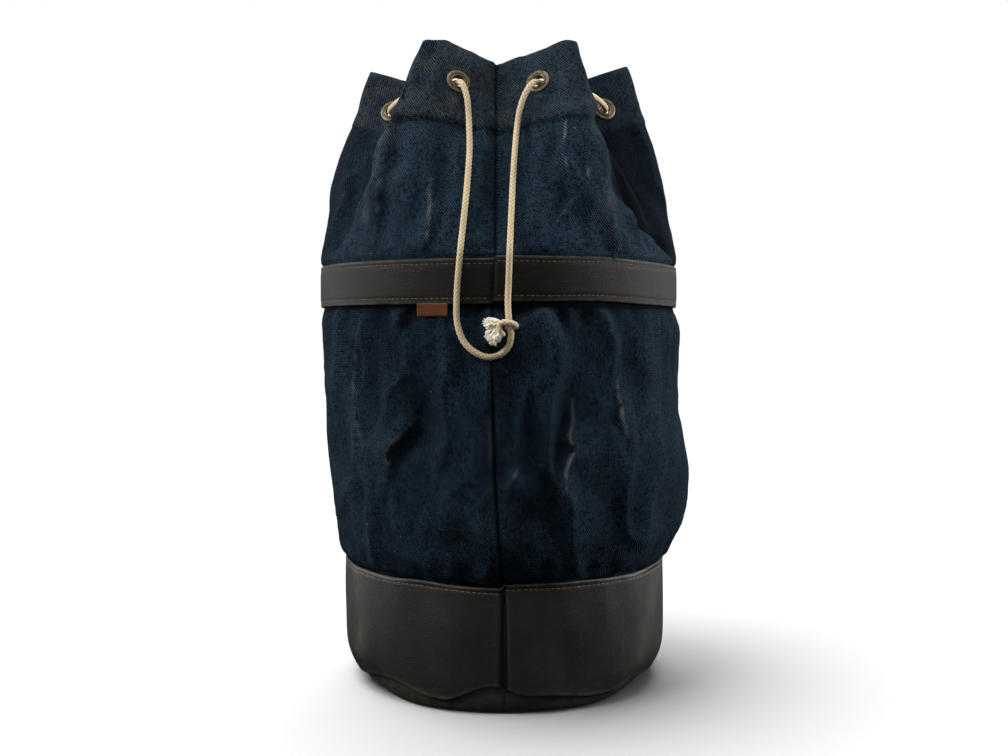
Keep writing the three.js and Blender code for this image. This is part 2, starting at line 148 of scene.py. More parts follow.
# Radius and height round the eyelet's section
EYELET_PROFILE = MM * np.array([
    (9.75, 0.25), (9.72, 0.7), (9.35, 1.15), (8.6, 1.45), (7.7, 1.5), (7.05, 1.3),
    (6.6, 1.0), (6.25, 1.25), (5.75, 1.72), (5.25, 1.78), (4.9, 1.5), (4.75, 0.9),
    (4.75, -3.2), (5.2, -4.0), (7.0, -4.1), (8.5, -3.5), (8.6, -3.1), (5.7, -3.1), (5.7, 0.25),
])

# Drawstring
CORD_RADIUS = 2.5 * MM
CORD_SAG = 1.4 * MM
CORD_GAP = 0.4 * MM
LEG_SLANT = 0.5
# How far past the hem the cord goes straight out of an eyelet: the legs and the threaded run
LEG_REACH, RUN_REACH = 4 * MM, 3.5 * MM
LEFT_LEG = MM * np.array([
    (-29.6, -98.2, 474.4), (-27.2, -101, 468.6), (-25.4, -102.2, 461), (-24.4, -103.8, 450),
    (-23.8, -107.9, 438), (-23.3, -115.6, 420), (-24, -122.8, 405), (-25, -129.7, 389),
    (-26.3, -137, 373), (-27.6, -142, 358), (-29, -147.7, 343), (-30.3, -148, 328),
    (-31.7, -147.8, 307), (-31, -147.5, 289), (-25.9, -148.3, 276), (-16.6, -149.3, 268),
    (-7.9, -149.5, 265.5), (0.7, -149.6, 268), (6.2, -150.8, 274), (7.2, -151.8, 278.7),
])
RIGHT_LEG = MM * np.array([
    (24.8, -97.6, 475.2), (21.4, -100.8, 470.6), (18, -102.2, 464), (14.8, -102.8, 454),
    (13, -104, 443), (12, -107.4, 434), (10.8, -114, 420), (9.7, -121.6, 404),
    (8.8, -129.2, 388), (8.1, -136.5, 373), (7.2, -145, 354), (6.9, -148.6, 346.5),
    (6.6, -150.2, 340), (6, -149.8, 322), (5.4, -149.8, 307), (5.6, -150.6, 299),
    (6, -152, 293.8),
])

# Relief, in millimetres.
# Front seam of the bag: heights and places across, width of its line, reach of the leather's step
SEAM_HEIGHTS = [20, 86, 117, 176, 249, 300, 340, 382, 496]
SEAM_ACROSS = [3, 3, 0, -4, -6, -6, -4, -3, -3]
SEAM_LINE = 0.9
SEAM_DEPTH = 1.6
STEP_REACH = 40
# Height of the upper panel's cloth, and the tucks where it is sewn on at the band
UPPER_CLOTH = 178
TUCK_PITCH = 13
# Upper panel: lobes, valleys, draw under the front's hem, waist and neck of the side lobes,
# the fold that ends the front lobe, and the hem
LOBE_RISE = 2.6
VALLEY_DEPTH = 1.6
DRAW_DEPTH = 4
WAIST_DEPTH, NECK_DEPTH = 4, 2.8
FOLD_DEPTH = 8
HEM_RISE = 0.5
# Lower panel: puckers over the base, gathers under the band, and where its seam is most worn
PUCKERS, PUCKER_RISE = 44, 0.8
GATHERS, GATHER_RISE = 36, 1.1
WORN_SEAM = 188
# Under a leg of the drawstring the cloth stays below this
CORD_REST = -0.4
# Where the band rises, across from the seam, and how far that reaches
BAND_RISE_AT, BAND_RISE_REACH = 75, 40
# How far the rows of stitches are from the leather's edges
BAND_ROW = 3.2
BASE_ROW = 2.8
# Soft hollows of the lower panel: turn, spread in degrees, height, reach and depth
LOWER_FOLDS = [
    (-49, 9, 240, 52, 5), (27, 8, 175, 42, 5), (-29, 9, 182, 34, 4), (44, 9, 228, 36, 4),
    (68, 16, 165, 36, -2.6), (-62, 9, 158, 34, 3), (118, 12, 215, 48, 4), (162, 12, 180, 46, 4),
    (-112, 12, 205, 50, 4), (-158, 12, 235, 46, 4), (86, 20, 284, 11, -1.5),
    (90, 18, 217, 12, 3.5), (90, 30, 114, 8, 3.6), (-90, 30, 114, 8, 3),
]
# Painted sheen: glossy streaks painted on the sides of the base: points across and up
SHEEN_LINES = [
    [(-114, 94), (-112, 74), (-109, 52), (-113, 32)],
    [(128, 92), (122, 72), (114, 52), (110, 28)],
]
# Creases seen on the front: rise, width, side of the steep flank, wear, then points across and up
CREASES = [
    (2.6, 3.4, 1, 0.7, [(-46, 412), (-53, 391), (-53, 373), (-52, 362), (-55, 341)]),
    (2.6, 2.8, -1, 0.7, [(51, 454), (49, 437), (48, 418), (50, 402)]),
    (1.8, 2.4, -1, 0.7, [(66, 418), (65, 405), (65, 395)]),
    (3.4, 3.5, 1, 0.35, [(-80, 458), (-86, 440), (-89, 407), (-92, 383), (-94, 360), (-98, 342)]),
    (3.0, 3.0, -1, 0.45, [(-90, 417), (-98, 396), (-111, 380), (-123, 360), (-139, 343)]),
    (2.2, 3.5, -1, 0.2, [(85, 374), (84, 353), (83, 343)]),
    (2.6, 3.5, -1, 0.3, [(57, 385), (51, 377), (42, 366)]),
    (3.6, 3.0, 1, 0.4, [(-127, 414), (-126, 402), (-130, 387)]),
    (4.6, 4.0, -1, 1.1, [(54, 235), (54, 215), (51, 208), (54, 196), (48, 184), (46, 169), (49, 145)]),
    (4.0, 4.0, 1, 0.6, [(-66, 220), (-69, 214), (-84, 194), (-83, 181), (-86, 165)]),
    (4.0, 5.0, 1, 0.3, [(-108, 289), (-114, 267), (-112, 239), (-103, 195), (-102, 177)]),
    (3.0, 5.0, 1, 0.1, [(-115, 171), (-122, 152), (-130, 139)]),
    (2.4, 3.0, -1, 1.1, [(87, 249), (87, 237), (89, 221), (96, 205)]),
    (2.2, 3.5, -1, 0.7, [(13, 185), (6, 170)]),
    (2.4, 3.0, -1, 0.1, [(37, 303), (28, 297), (16, 290)]),
    (2.4, 3.0, -1, 0.1, [(50, 302), (54, 285)]),
    (2.4, 3.0, 1, 0.1, [(-71, 303), (-78, 285)]),
    (2.8, 5.0, -1, 0.1, [(30, 262), (27, 240), (29, 214)]),
    (2.6, 5.0, 1, 0.1, [(-40, 262), (-44, 238), (-40, 205), (-46, 176)]),
    (2.6, 5.0, -1, 0.1, [(108, 265), (112, 240), (108, 214)]),
]

# Fineness of the meshes
FRONT_FACES = (0, 1, 10, 11)
FRONT_COLUMNS = 64
BACK_COLUMNS = 31
UPPER_ROWS = 126
LOWER_ROWS = 150
ROUND_COLUMNS = 460
CUP_COLUMNS = 300
BAND_ROWS = 27
INNER_STEP, BAND_INNER_STEP = 6, 3
SECTION_STEP = 0.4 * MM
LEG_STEP, RUN_STEP = 0.5 * MM, 0.9 * MM
LEG_SIDES, RUN_SIDES, KNOT_SIDES = 32, 24, 28
STRAND_RINGS, STRAND_SIDES = 17, 7


def unit(vectors):
    return vectors / np.maximum(np.linalg.norm(vectors, axis=-1, keepdims=True), 1e-12)


def mix(a, b, share):
    return a + (b - a) * share


def clipped(value):
    return np.clip(value, 0, 1)


def smooth(value, low, high):
    step = clipped((value - low) / (high - low))
    return step * step * (3 - 2 * step)


def bell(distance, spread):
    return np.exp(-((distance / spread) ** 2))


def eased(value, places, heights):
    """Heights between the places of a table, joined by soft waves."""
    step = np.arange(len(places))
    place = np.interp(value, places, step)
    whole = np.floor(place)
    return np.interp(whole + (1 - np.cos(math.pi * (place - whole))) / 2, step, heights)


def run_lengths(points):
    """Length along a path up to each of its points."""
    return np.append(0, np.cumsum(np.linalg.norm(np.diff(points, axis=0), axis=1)))


def turn_apart(a, b=0):
    return (a - b + 180) % 360 - 180


def around(radius, turn, shift, z, broad=1):
    angle = np.radians(turn)
    across = shift + broad * radius * np.sin(angle)
    return np.stack(np.broadcast_arrays(across, -radius * np.cos(angle), z), -1)


def on_round(radius, turn, shift, z):
    """Point on the bag's broad round."""
    return around(radius, turn, shift, z, BROAD)


def lattice(cells, seed):
    """A number from 0 to 1 for every whole cell."""
    code = cells[..., 0] * 73856093 ^ cells[..., 1] * 19349663 ^ cells[..., 2] * 83492791
    code = (code ^ (seed * 668265263)) & 0xFFFFFFFF
    code = ((code ^ (code >> 15)) * 2246822519) & 0xFFFFFFFF
    code = ((code ^ (code >> 13)) * 3266489917) & 0xFFFFFFFF
    return ((code ^ (code >> 16)) & 0xFFFF) / 0xFFFF


def noise(points, size, seed):
    """Smooth noise from -1 to 1; size is the width of a bump, or one width for each axis."""
    places = points / np.asarray(size)
    cells = np.floor(places).astype(np.int64)
    part = places - cells
    fade = part * part * (3 - 2 * part)
    total = np.zeros(points.shape[:-1])
    for corner in np.ndindex(2, 2, 2):
        share = np.prod(np.where(np.array(corner) == 1, fade, 1 - fade), axis=-1)
        total += share * lattice(cells + np.array(corner), seed)
    return 2 * total - 1


def fractal(points, size, seed, octaves=3):
    size = np.asarray(size)
    return sum(noise(points, size / 2**level, seed + level) / 2**level for level in range(octaves))


def folds(at, size, seed):
    """Cloth folds: soft hollows between narrow crests that wander."""
    wander = np.stack([noise(at, 38, seed + axis) for axis in (11, 12, 13)], -1)
    return 0.55 - 1.9 * abs(noise(at + 11 * wander, size, seed))


# Camera

camera_data = bpy.data.cameras.new("photo_camera")
camera_data.sensor_width = SENSOR_WIDTH
camera_data.lens = FOCAL_PIXELS * SENSOR_WIDTH / IMAGE_WIDTH
camera_data.shift_y = HORIZON_OFFSET / IMAGE_WIDTH
camera = bpy.data.objects.new("photo_camera", camera_data)
camera.location = CAMERA_AT
camera.rotation_euler = (math.pi / 2, 0, 0)
scene.collection.objects.link(camera)
scene.camera = camera


# Materials


class Nodes:
    """Shader nodes of one tree; an input is a plain value or the output that feeds it."""

    def __init__(self, tree):
        self.tree = tree

    def feed(self, socket, value):
        if isinstance(value, bpy.types.NodeSocket):
            self.tree.links.new(value, socket)
        else:
            socket.default_value = value

    def add(self, kind, inputs, **settings):
        """Adds a node and returns its outputs."""
        node = self.tree.nodes.new("ShaderNode" + kind)
        for key, value in settings.items():
            setattr(node, key, value)
        for key, value in inputs.items():
            self.feed(node.inputs[key], value)
        return node.outputs

    def math(self, operation, *values):
        return self.add("Math", dict(enumerate(values)), operation=operation)[0]

    def times(self, first, second, plus=0):
        return self.math("MULTIPLY_ADD", first, second, plus)

    def wave(self, value, pitch):
        return self.math("SINE", self.times(value, 2 * math.pi / pitch))

    def ramp(self, value, low, high, top=1):
        """From 0 at the low value to the top at the high one."""
        return self.add("MapRange", {0: value, 1: low, 2: high, 4: top}, clamp=True)[0]


class Paint(Nodes):
    """A material with plain values on its shader and coats of colour over each other."""

    def __init__(self, name, settings):
        self.material = bpy.data.materials.new(name)
        self.material.use_nodes = True
        super().__init__(self.material.node_tree)
        self.shader = self.tree.nodes["Principled BSDF"].inputs
        for key, value in settings.items():
            self.shader[key].default_value = value
        self.place = self.add("TexCoord", {})["Object"]
        self.colour = None

    def speckle(self, scale, detail=3, roughness=0.6):
        """Noise; a scale of three numbers stretches it."""
        place = self.place
        if isinstance(scale, tuple):
            place, scale = self.add("Mapping", {0: place, 3: scale})[0], 1
        inputs = {"Vector": place, "Scale": scale, "Detail": detail, "Roughness": roughness}
        return self.add("TexNoise", inputs)[0]

    def mark(self, name):
        return self.add("Attribute", {}, attribute_name=name)["Fac"]

    def coat(self, share, colour, under=None):
        """Lays a colour by its share over an under colour, or over the coats so far."""
        below = self.colour if under is None else (*under, 1)
        self.colour = self.add("Mix", {0: share, 6: below, 7: (*colour, 1)}, data_type="RGBA")[2]

    def finished(self, rough=None, height=None, depth=0, strength=1):
        """The material, with its coats, roughness and bump on the shader."""
        self.feed(self.shader["Base Color"], self.colour)
        if rough is not None:
            self.feed(self.shader["Roughness"], rough)
        if height is not None:
            inputs = {"Strength": strength, "Distance": depth, "Height": height}
            self.feed(self.shader["Normal"], self.add("Bump", inputs)[0])
        return self.material


# Distance between the ribs of the twill and between its weft threads
RIB_PITCH, PICK_PITCH = 1.9 * MM, 1.3 * MM


def denim_material():
    """Indigo twill on a cloth map in metres, with mottling, dust, pale worn crests and painted shade."""
    paint = Paint("denim", {"Specular IOR Level": 0.03})
    cloth = paint.add("SeparateXYZ", {0: paint.add("UVMap", {}, uv_map="cloth")[0]})
    along = paint.times(paint.speckle(160), 1.6 * MM, plus=cloth[0])
    ribs = paint.wave(paint.times(cloth[1], 0.75, plus=along), RIB_PITCH)
    picks = paint.wave(cloth[1], PICK_PITCH)
    twill = paint.times(ribs, 0.34, plus=paint.times(picks, 0.2, plus=0.5))
    fleck = paint.speckle(820, 2)
    mottle = paint.speckle(30, 4)
    weave = paint.times(twill, paint.ramp(paint.speckle((640, 640, 340), 2), 0.2, 0.8))
    paint.coat(paint.ramp(weave, 0.11, 0.60), (0.0385, 0.0715, 0.104), under=(0.0011, 0.0046, 0.0107))
    paint.coat(paint.ramp(paint.speckle((110, 110, 620)), 0.5, 0.72, 0.55), (0.025, 0.046, 0.065))
    paint.coat(paint.ramp(mottle, 0.46, 0.72, 0.32), (0.0016, 0.0050, 0.0110))
    paint.coat(paint.ramp(fleck, 0.6, 0.76, 0.4), (0.085, 0.108, 0.122))
    lint = paint.ramp(paint.speckle(420, 1), 0.77, 0.82, 0.5)
    paint.coat(lint, (0.30, 0.32, 0.32))
    dusty = paint.times(paint.ramp(paint.speckle(70, 4), 0.3, 0.72), paint.ramp(weave, 0.05, 0.5))
    paint.coat(paint.times(paint.mark("dust"), dusty), (0.098, 0.102, 0.092))
    threads = paint.ramp(paint.times(fleck, 0.9, plus=twill), 0.6, 1.1)
    paint.coat(paint.times(paint.mark("wear"), threads), (0.24, 0.26, 0.26))
    # Painted shade: the shade mark darkens the cloth towards near black where the panels paint shadow and
    # shade
    paint.coat(paint.mark("shade"), (0.0006, 0.0016, 0.0034))
    rough, height = paint.times(mottle, 0.2, plus=0.8), paint.times(fleck, 0.8, plus=twill)
    return paint.finished(rough, height, 0.9 * MM, 0.9)


def leather_material(name, gloss, deep, pale, edge):
    """Dull oiled leather: fine grain, scuffs, faded patches and pale cut edges, with painted sheen, painted
    highlights and painted shade from the marks.
    """
    paint = Paint(name, {"Specular IOR Level": gloss})
    cells = paint.add("TexVoronoi", {"Vector": paint.place, "Scale": 900}, feature="DISTANCE_TO_EDGE")[0]
    grain = paint.ramp(cells, 0, 0.25, 0.6)
    broad = paint.speckle(22, 5)
    scuffs = paint.ramp(paint.speckle((70, 70, 900), 4, 0.7), 0.58, 0.8, 0.35)
    paint.coat(paint.ramp(broad, 0.35, 0.75), pale, under=deep)
    paint.coat(scuffs, edge)
    # The fade mark pales the leather towards its edge colour: pale cut edges, and also painted sheen and
    # painted highlights where the pieces set it
    paint.coat(paint.times(paint.mark("fade"), paint.ramp(paint.speckle(130, 4), 0.25, 0.8)), edge)
    # Painted shade from the shade mark: dark seams, and the shadow under the wall on the bottom
    paint.coat(paint.mark("shade"), (0.002, 0.002, 0.002))
    rough, height = paint.times(broad, 0.3, plus=0.34), paint.times(paint.speckle(1400, 2), 0.5, plus=grain)
    return paint.finished(rough, height, 0.35 * MM, 0.5)


def brass_material():
    """Antique brass: dark patina in the groove, rubbed bright on the crests."""
    paint = Paint("antique_brass", {"Metallic": 1})
    patina = paint.speckle(420, 4)
    paint.coat(paint.ramp(patina, 0.35, 0.7), (0.09, 0.072, 0.046), under=(0.21, 0.168, 0.11))
    paint.coat(paint.mark("shade"), (0.02, 0.016, 0.009))
    return paint.finished(paint.times(patina, 0.3, plus=0.46), paint.speckle(2200, 2), 0.06 * MM, 0.6)


COTTON = {"Roughness": 0.9, "Specular IOR Level": 0.15, "Sheen Weight": 0.15, "Sheen Roughness": 0.5}


def cotton_material(name, groove, crest):
    """Spun cotton: pale where the crest mark is high and darker where it is low, which on a braided cord is
    painted shade between the strands; with soiled patches and fine fibre streaks.
    """
    paint = Paint(name, COTTON)
    paint.coat(paint.mark("crest"), crest, under=groove)
    soil = paint.ramp(paint.speckle(60, 4), 0.45, 0.75, 0.35)
    paint.coat(soil, groove)
    return paint.finished(None, paint.speckle(2600, 2), 0.25 * MM, 0.6)


def floor_material():
    """White paper."""
    paint = Paint("studio_floor", {"Roughness": 0.9, "Specular IOR Level": 0.1})
    paint.coat(paint.speckle(300, 2), (0.86, 0.86, 0.86), under=(0.84, 0.84, 0.84))
    return paint.finished()


denim = denim_material()
base_leather = leather_material(
    "base_leather", 0.34, (0.0070, 0.0063, 0.0051), (0.0140, 0.0126, 0.0104), (0.075, 0.066, 0.050)
)
band_leather = leather_material(
    "band_leather", 0.1, (0.0048, 0.0042, 0.0032), (0.0102, 0.0090, 0.0069), (0.088, 0.077, 0.058)
)
tan_leather = leather_material(
    "tan_leather", 0.1, (0.055, 0.015, 0.003), (0.115, 0.033, 0.008), (0.24, 0.10, 0.04)
)
brass = brass_material()
cord_cotton = cotton_material("cord_cotton", (0.33, 0.245, 0.14), (0.74, 0.60, 0.385))
fray_cotton = cotton_material("fray_cotton", (0.62, 0.55, 0.42), (0.94, 0.88, 0.74))
base_thread = cotton_material("base_thread", (0.07, 0.059, 0.044), (0.19, 0.16, 0.117))
band_thread = cotton_material("band_thread", (0.04, 0.034, 0.025), (0.11, 0.092, 0.067))


# Making of objects


def new_mesh(name, points, faces, **marks):
    """A mesh with its marks, which are numbers for its points that the materials read."""
    mesh = bpy.data.meshes.new(name)
    mesh.from_pydata(points.reshape(-1, 3), [], faces)
    for key, values in marks.items():
        layer = mesh.attributes.new(key, "FLOAT", "POINT")
        layer.data.foreach_set("value", values.ravel().astype(np.float32))
    return mesh


def place_mesh(mesh, material, slot, *nodes):
    """Puts a mesh on the bag, standing for the CAD nodes that it names."""
    mesh.shade_smooth()
    mesh.materials.append(material)
    piece = bpy.data.objects.new(mesh.name, mesh)
    scene.collection.objects.link(piece)
    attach(piece, "root")
    if nodes:
        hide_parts(*nodes)
    return piece


@contextmanager
def editing(mesh):
    """The mesh as a bmesh, written back at the end."""
    body = bmesh.new()
    body.from_mesh(mesh)
    yield body
    body.to_mesh(mesh)
    body.free()


def corners(here, beside):
    """Four corners of every face from a point and the one beside it; the last row meets the first."""
    return np.stack([here, beside, np.roll(beside, -1, 0), np.roll(here, -1, 0)], 2)


def grid_quads(rows, columns, wrap_rows=False):
    """Corner numbers of a grid that is closed along its rows."""
    number = np.arange(rows * columns).reshape(rows, columns)
    quads = corners(number, np.roll(number, -1, 1))
    return (quads if wrap_rows else quads[:-1]).reshape(-1, 4)


def grid_normals(grid):
    across = np.roll(grid, -1, 1) - np.roll(grid, 1, 1)
    return unit(np.cross(across, np.gradient(grid, axis=0)))


CAP_ANGLES = np.radians([35, 90, 145])
# A direction in which no path sets out, and the points of a curve between two of its knots
ASIDE = (0.31, 0.17, 0.93)
CURVE_POINTS = 24


def sheet_mesh(name, outer, thickness, cloth, marks, inner_step=INNER_STEP):
    """Closed sheet with rounded edges from the rings of its outer face.

    The cloth map is in metres; its last column is where the first one meets it again.
    """
    rows, columns = outer.shape[:2]
    thick = np.broadcast_to(thickness, rows)[:, None, None]
    normals = grid_normals(outer)
    rise = unit(np.gradient(outer, axis=0))
    inner = outer - normals * thick
    picks = np.unique(np.append(np.arange(0, rows, inner_step), rows - 1))

    def edge(row, away, angles):
        middle, half = (outer[row] + inner[row]) / 2, thick[row] / 2
        return [middle + half * (normals[row] * math.cos(a) + away * math.sin(a)) for a in angles]

    def in_order(values):
        top, foot = (np.repeat(values[row : row + 1], len(CAP_ANGLES), 0) for row in (rows - 1, 0))
        return np.concatenate([values, top, values[picks][::-1], foot])

    rings = np.concatenate([
        outer, edge(-1, rise[-1], CAP_ANGLES), inner[picks][::-1], edge(0, -rise[0], CAP_ANGLES[::-1]),
    ])
    marks = {key: in_order(np.broadcast_to(values, (rows, columns))) for key, values in marks.items()}
    mesh = new_mesh(name, rings, grid_quads(len(rings), columns, wrap_rows=True), **marks)
    cloth = in_order(cloth)
    layer = mesh.uv_layers.new(name="cloth")
    layer.data.foreach_set("uv", corners(cloth[:, :-1], cloth[:, 1:]).ravel().astype(np.float32))
    return mesh


def swept_mesh(name, path, profile, crest):
    """Tube along a path; profile gives its radius for each ring and side."""
    rings, sides = profile.shape
    tangent = unit(np.gradient(path, axis=0))
    normal = np.zeros_like(path)
    normal[0] = unit(np.cross(tangent[0], ASIDE))
    for ring in range(1, rings):
        normal[ring] = unit(normal[ring - 1] - tangent[ring] * np.dot(normal[ring - 1], tangent[ring]))
    binormal = np.cross(tangent, normal)
    angle = (np.arange(sides) * 2 * math.pi / sides)[:, None]
    spokes = normal[:, None] * np.cos(angle) + binormal[:, None] * np.sin(angle)
    points = path[:, None] + spokes * profile[..., None]
    quads = [tuple(quad) for quad in grid_quads(rings, sides)]
    ends = [tuple(range(sides))[::-1], tuple(range((rings - 1) * sides, rings * sides))]
    return new_mesh(name, points, quads + ends, crest=crest)


def at_lengths(places, lengths, points):
    """Points of a path at places along its length."""
    return np.stack([np.interp(places, lengths, axis) for axis in points.T], -1)


def spline(points, step):
    """Centripetal curve through the points, at even steps along its length."""
    points = np.asarray(points, float)
    knots = np.concatenate([[2 * points[0] - points[1]], points, [2 * points[-1] - points[-2]]])
    spans = np.maximum(np.linalg.norm(np.diff(knots, axis=0), axis=1), 1e-9)
    times = np.append(0, np.cumsum(np.sqrt(spans)))
    fine = []
    for start in range(len(points) - 1):
        t = np.linspace(times[start + 1], times[start + 2], CURVE_POINTS, endpoint=False)[:, None]

        def between(a, b, first, last):
            first, last = times[start + first], times[start + last]
            return mix(a, b, (t - first) / (last - first))

        ab, bc, cd = (between(knots[start + k], knots[start + k + 1], k, k + 1) for k in range(3))
        fine.append(between(between(ab, bc, 0, 2), between(bc, cd, 1, 3), 1, 2))
    fine = np.concatenate([*fine, points[-1:]])
    lengths = run_lengths(fine)
    return at_lengths(np.linspace(0, lengths[-1], max(4, int(lengths[-1] / step))), lengths, fine)


def section_at(sections, z):
    """Second and third number of the sections, on the smooth line through them at a height."""
    line = spline(sections, SECTION_STEP)
    return [np.interp(z, line[:, 0], line[:, axis]) for axis in (1, 2)]


# Shape of the gathered mouth


def mouth_folds():
    """Rim point, turn at the band, ease and face length of every fold: valley, ridge and so on."""
    crests = [around(radius * MM, turn, 0, z * MM) for _, turn, radius, z in RIDGES]
    rims, turns, eases, lengths = [], [], [], []
    for index, (turn, length, height) in enumerate(VALLEYS):
        before, after = crests[index - 1], crests[index]
        middle = (before + after)[:2] / 2
        half = np.linalg.norm((after - before)[:2]) / 2
        inward = math.sqrt((length * MM) ** 2 - half**2)
        plan = middle * (1 - inward / np.linalg.norm(middle))
        rims += [np.array([*plan, height * MM]), after]
        turns += [turn, RIDGES[index][0]]
        eases += [1, RIDGE_EASE]
        lengths += [length * MM, VALLEYS[(index + 1) % len(VALLEYS)][1] * MM]
    return [np.array(values) for values in (rims, turns, eases, lengths)]


RIMS, BAND_TURNS, EASES, FACE_LENGTHS = mouth_folds()
FACE_STARTS = np.append(0, np.cumsum(FACE_LENGTHS))


def rim_line(place):
    face = np.floor(place).astype(int)
    return mix(RIMS[face % FACES], RIMS[(face + 1) % FACES], (place - face)[..., None])


def rim_point(place):
    fold = np.round(place)
    off = place - fold
    step = ((off / CORNER_SHARE + 1) / 2)[..., None]
    corner = RIMS[fold.astype(int) % FACES]
    first = mix(rim_line(fold - CORNER_SHARE), corner, step)
    second = mix(corner, rim_line(fold + CORNER_SHARE), step)
    return np.where((abs(off) >= CORNER_SHARE)[..., None], rim_line(place), mix(first, second, step))


def band_turn(place):
    face = np.floor(place).astype(int)
    start = BAND_TURNS[face % FACES]
    return start + turn_apart(BAND_TURNS[(face + 1) % FACES], start) * (place - face)


def upper_point(place, share):
    place, share = np.broadcast_arrays(np.asarray(place, float), np.asarray(share, float))
    face = np.floor(place).astype(int)
    ease = mix(EASES[face % FACES], EASES[(face + 1) % FACES], place - face)
    foot = on_round(UPPER_RADIUS, band_turn(place), BAND_SHIFT, UPPER_FOOT)
    rim = rim_point(place)
    plan = mix(foot[..., :2], rim[..., :2], (share**ease)[..., None])
    return np.concatenate([plan, mix(foot[..., 2:], rim[..., 2:], share[..., None])], -1)


def eyelet_frames():
    """Centre and outward direction of every eyelet, evenly spaced along the cloth."""
    frames = []
    for along in EYELETS_ALONG:
        face = int(np.searchsorted(FACE_STARTS, along)) - 1
        place = face + (along - FACE_STARTS[face]) / FACE_LENGTHS[face]
        low_left, high_left, low_right, high_right, middle = upper_point(face + SEAT_PLACES, SEAT_SHARES)
        normal = unit(np.cross(low_right - high_left, high_right - low_left))
        centre = upper_point(place, EYELET_SHARE)
        frames.append((centre - normal * np.dot(centre - middle, normal), normal))
    return frames


EYELETS = eyelet_frames()


# Drawstring


def eyelet_passage(index):
    """Middle of an eyelet's hole where the cord runs, and the way the cord goes through it."""
    centre, normal = EYELETS[index]
    leg = index in (0, EYELET_COUNT - 1)
    down = np.array([0, 0, -1.0])
    down = unit(down - normal * np.dot(down, normal))
    heart = centre - normal * HEM / 2 + down * (0 if leg else CORD_SAG)
    return heart, unit(normal + down * (LEG_SLANT if leg else 0))


BRAID_STRANDS = 4
BRAID_TURN = 13.6 * MM
BRAID_DEPTH = 0.42 * MM


def braided_cord(name, path, sides):
    """Plaited cord: two sets of strands that cross each other over and under."""
    angle = (np.arange(sides) * 2 * math.pi / sides)[None]
    twist = 2 * math.pi * run_lengths(path)[:, None] / BRAID_TURN
    over = 0.9 * np.cos(BRAID_STRANDS * angle)
    rising, falling = (np.cos(BRAID_STRANDS * (angle + way * twist)) for way in (1, -1))
    # The crest mark is high on the strands and low between them, where the cotton paints shade
    crest = clipped((np.maximum(rising + over, falling - over) + 0.6) / 2.4)
    return swept_mesh(name, path, CORD_RADIUS + BRAID_DEPTH * (crest - 1.2), crest)


def leg_path(index, route):
    heart, through = eyelet_passage(index)
    start = [heart + through * CORD_GAP, heart + through * (HEM / 2 + LEG_REACH)]
    return spline(np.concatenate([start, route]), LEG_STEP)


def run_path():
    """In at the first eyelet, out at the second, and so on round the mouth."""
    points = []
    for index in range(EYELET_COUNT):
        heart, through = eyelet_passage(index)
        out = through * (1 if index % 2 == 0 else -1) * (HEM / 2 + RUN_REACH)
        points += [heart + out, heart, heart - out]
    return spline(points[1:-1], RUN_STEP)


def place_cord(name, path, sides, node):
    return place_mesh(braided_cord(name, path, sides), cord_cotton, "cotton", node)


left_path = leg_path(EYELET_COUNT - 1, LEFT_LEG)
right_path = leg_path(0, RIGHT_LEG)
cord_left = place_cord("cord_left", left_path, LEG_SIDES, "drawstring_left")
cord_right = place_cord("cord_right", right_path, LEG_SIDES, "drawstring_right")
place_cord("cord_run", run_path(), RUN_SIDES, "drawstring_run")


# Knot: the ends of both legs, a turn of cord round them and two frayed tufts to the left.
# Its points are in millimetres from its centre.

KNOT_CENTRE = MM * np.array([6.5, -152.4, 286.3])
KNOT_CORE = [(-0.5, 0.4, 8.4), (-0.6, 0.8, 5), (0.2, 1, 0), (1.2, 0.9, -4), (0.7, 0.6, -8.4)]
KNOT_WRAP = [
    (-4.6, -2.2, -5.4), (-7, -3.6, -1.4), (-7.2, -3.4, 2.2), (-4.2, -4.4, 4.2), (0.2, -4.8, 3.8),
    (3.8, -2.6, 2.6), (4.2, 0.8, 1.4), (1, 2, 1), (-3, 1.8, 1.6),
]
TUFTS = [
    # start, end, strands, spread of the ends
    ((-6, -2.2, 3.2), (-20, -0.8, 4.2), 64, 4.6),
    ((-5.6, -2.4, -1.4), (-17, -1.4, -10.4), 96, 6.6),
]


def join_meshes(name, meshes):
    """One mesh from several, with their marks."""
    joined = bpy.data.meshes.new(name)
    with editing(joined) as body:
        for mesh in meshes:
            body.from_mesh(mesh)
            bpy.data.meshes.remove(mesh)
    return joined


def tuft(start, end, strands, spread, random):
    """Curly frayed strands that open out from the end of the cord."""
    way = MM * np.subtract(end, start)
    away = unit(way)
    side = unit(np.cross(away, (0, -1, 0.2)))
    out = np.cross(side, away)
    root = KNOT_CENTRE + MM * np.array(start)
    share = np.linspace(0, 1, STRAND_RINGS)[:, None]
    for _ in range(strands):
        middle = math.sqrt(random.random())
        angle = random.uniform(0, 2 * math.pi)
        lean = (side * math.cos(angle) + 0.6 * out * math.sin(angle)) * spread * MM * middle
        reach = way * (1 - 0.3 * middle**2) * random.uniform(0.8, 1)
        curl = random.uniform(0.35, 0.95) * MM * share**0.5
        swirl = 2 * math.pi * random.uniform(1, 2.6) * share + random.uniform(0, 2 * math.pi)
        wave = curl * (side * np.cos(swirl) + out * np.sin(swirl))
        path = root + reach * share + lean * mix(0.4, 1, share**0.7) + wave
        taper = np.repeat(random.uniform(0.4, 0.8) * MM * (1 - 0.5 * share**4), STRAND_SIDES, 1)
        yield swept_mesh("strand", path, taper, np.full(taper.shape, random.uniform(0.5, 1)))


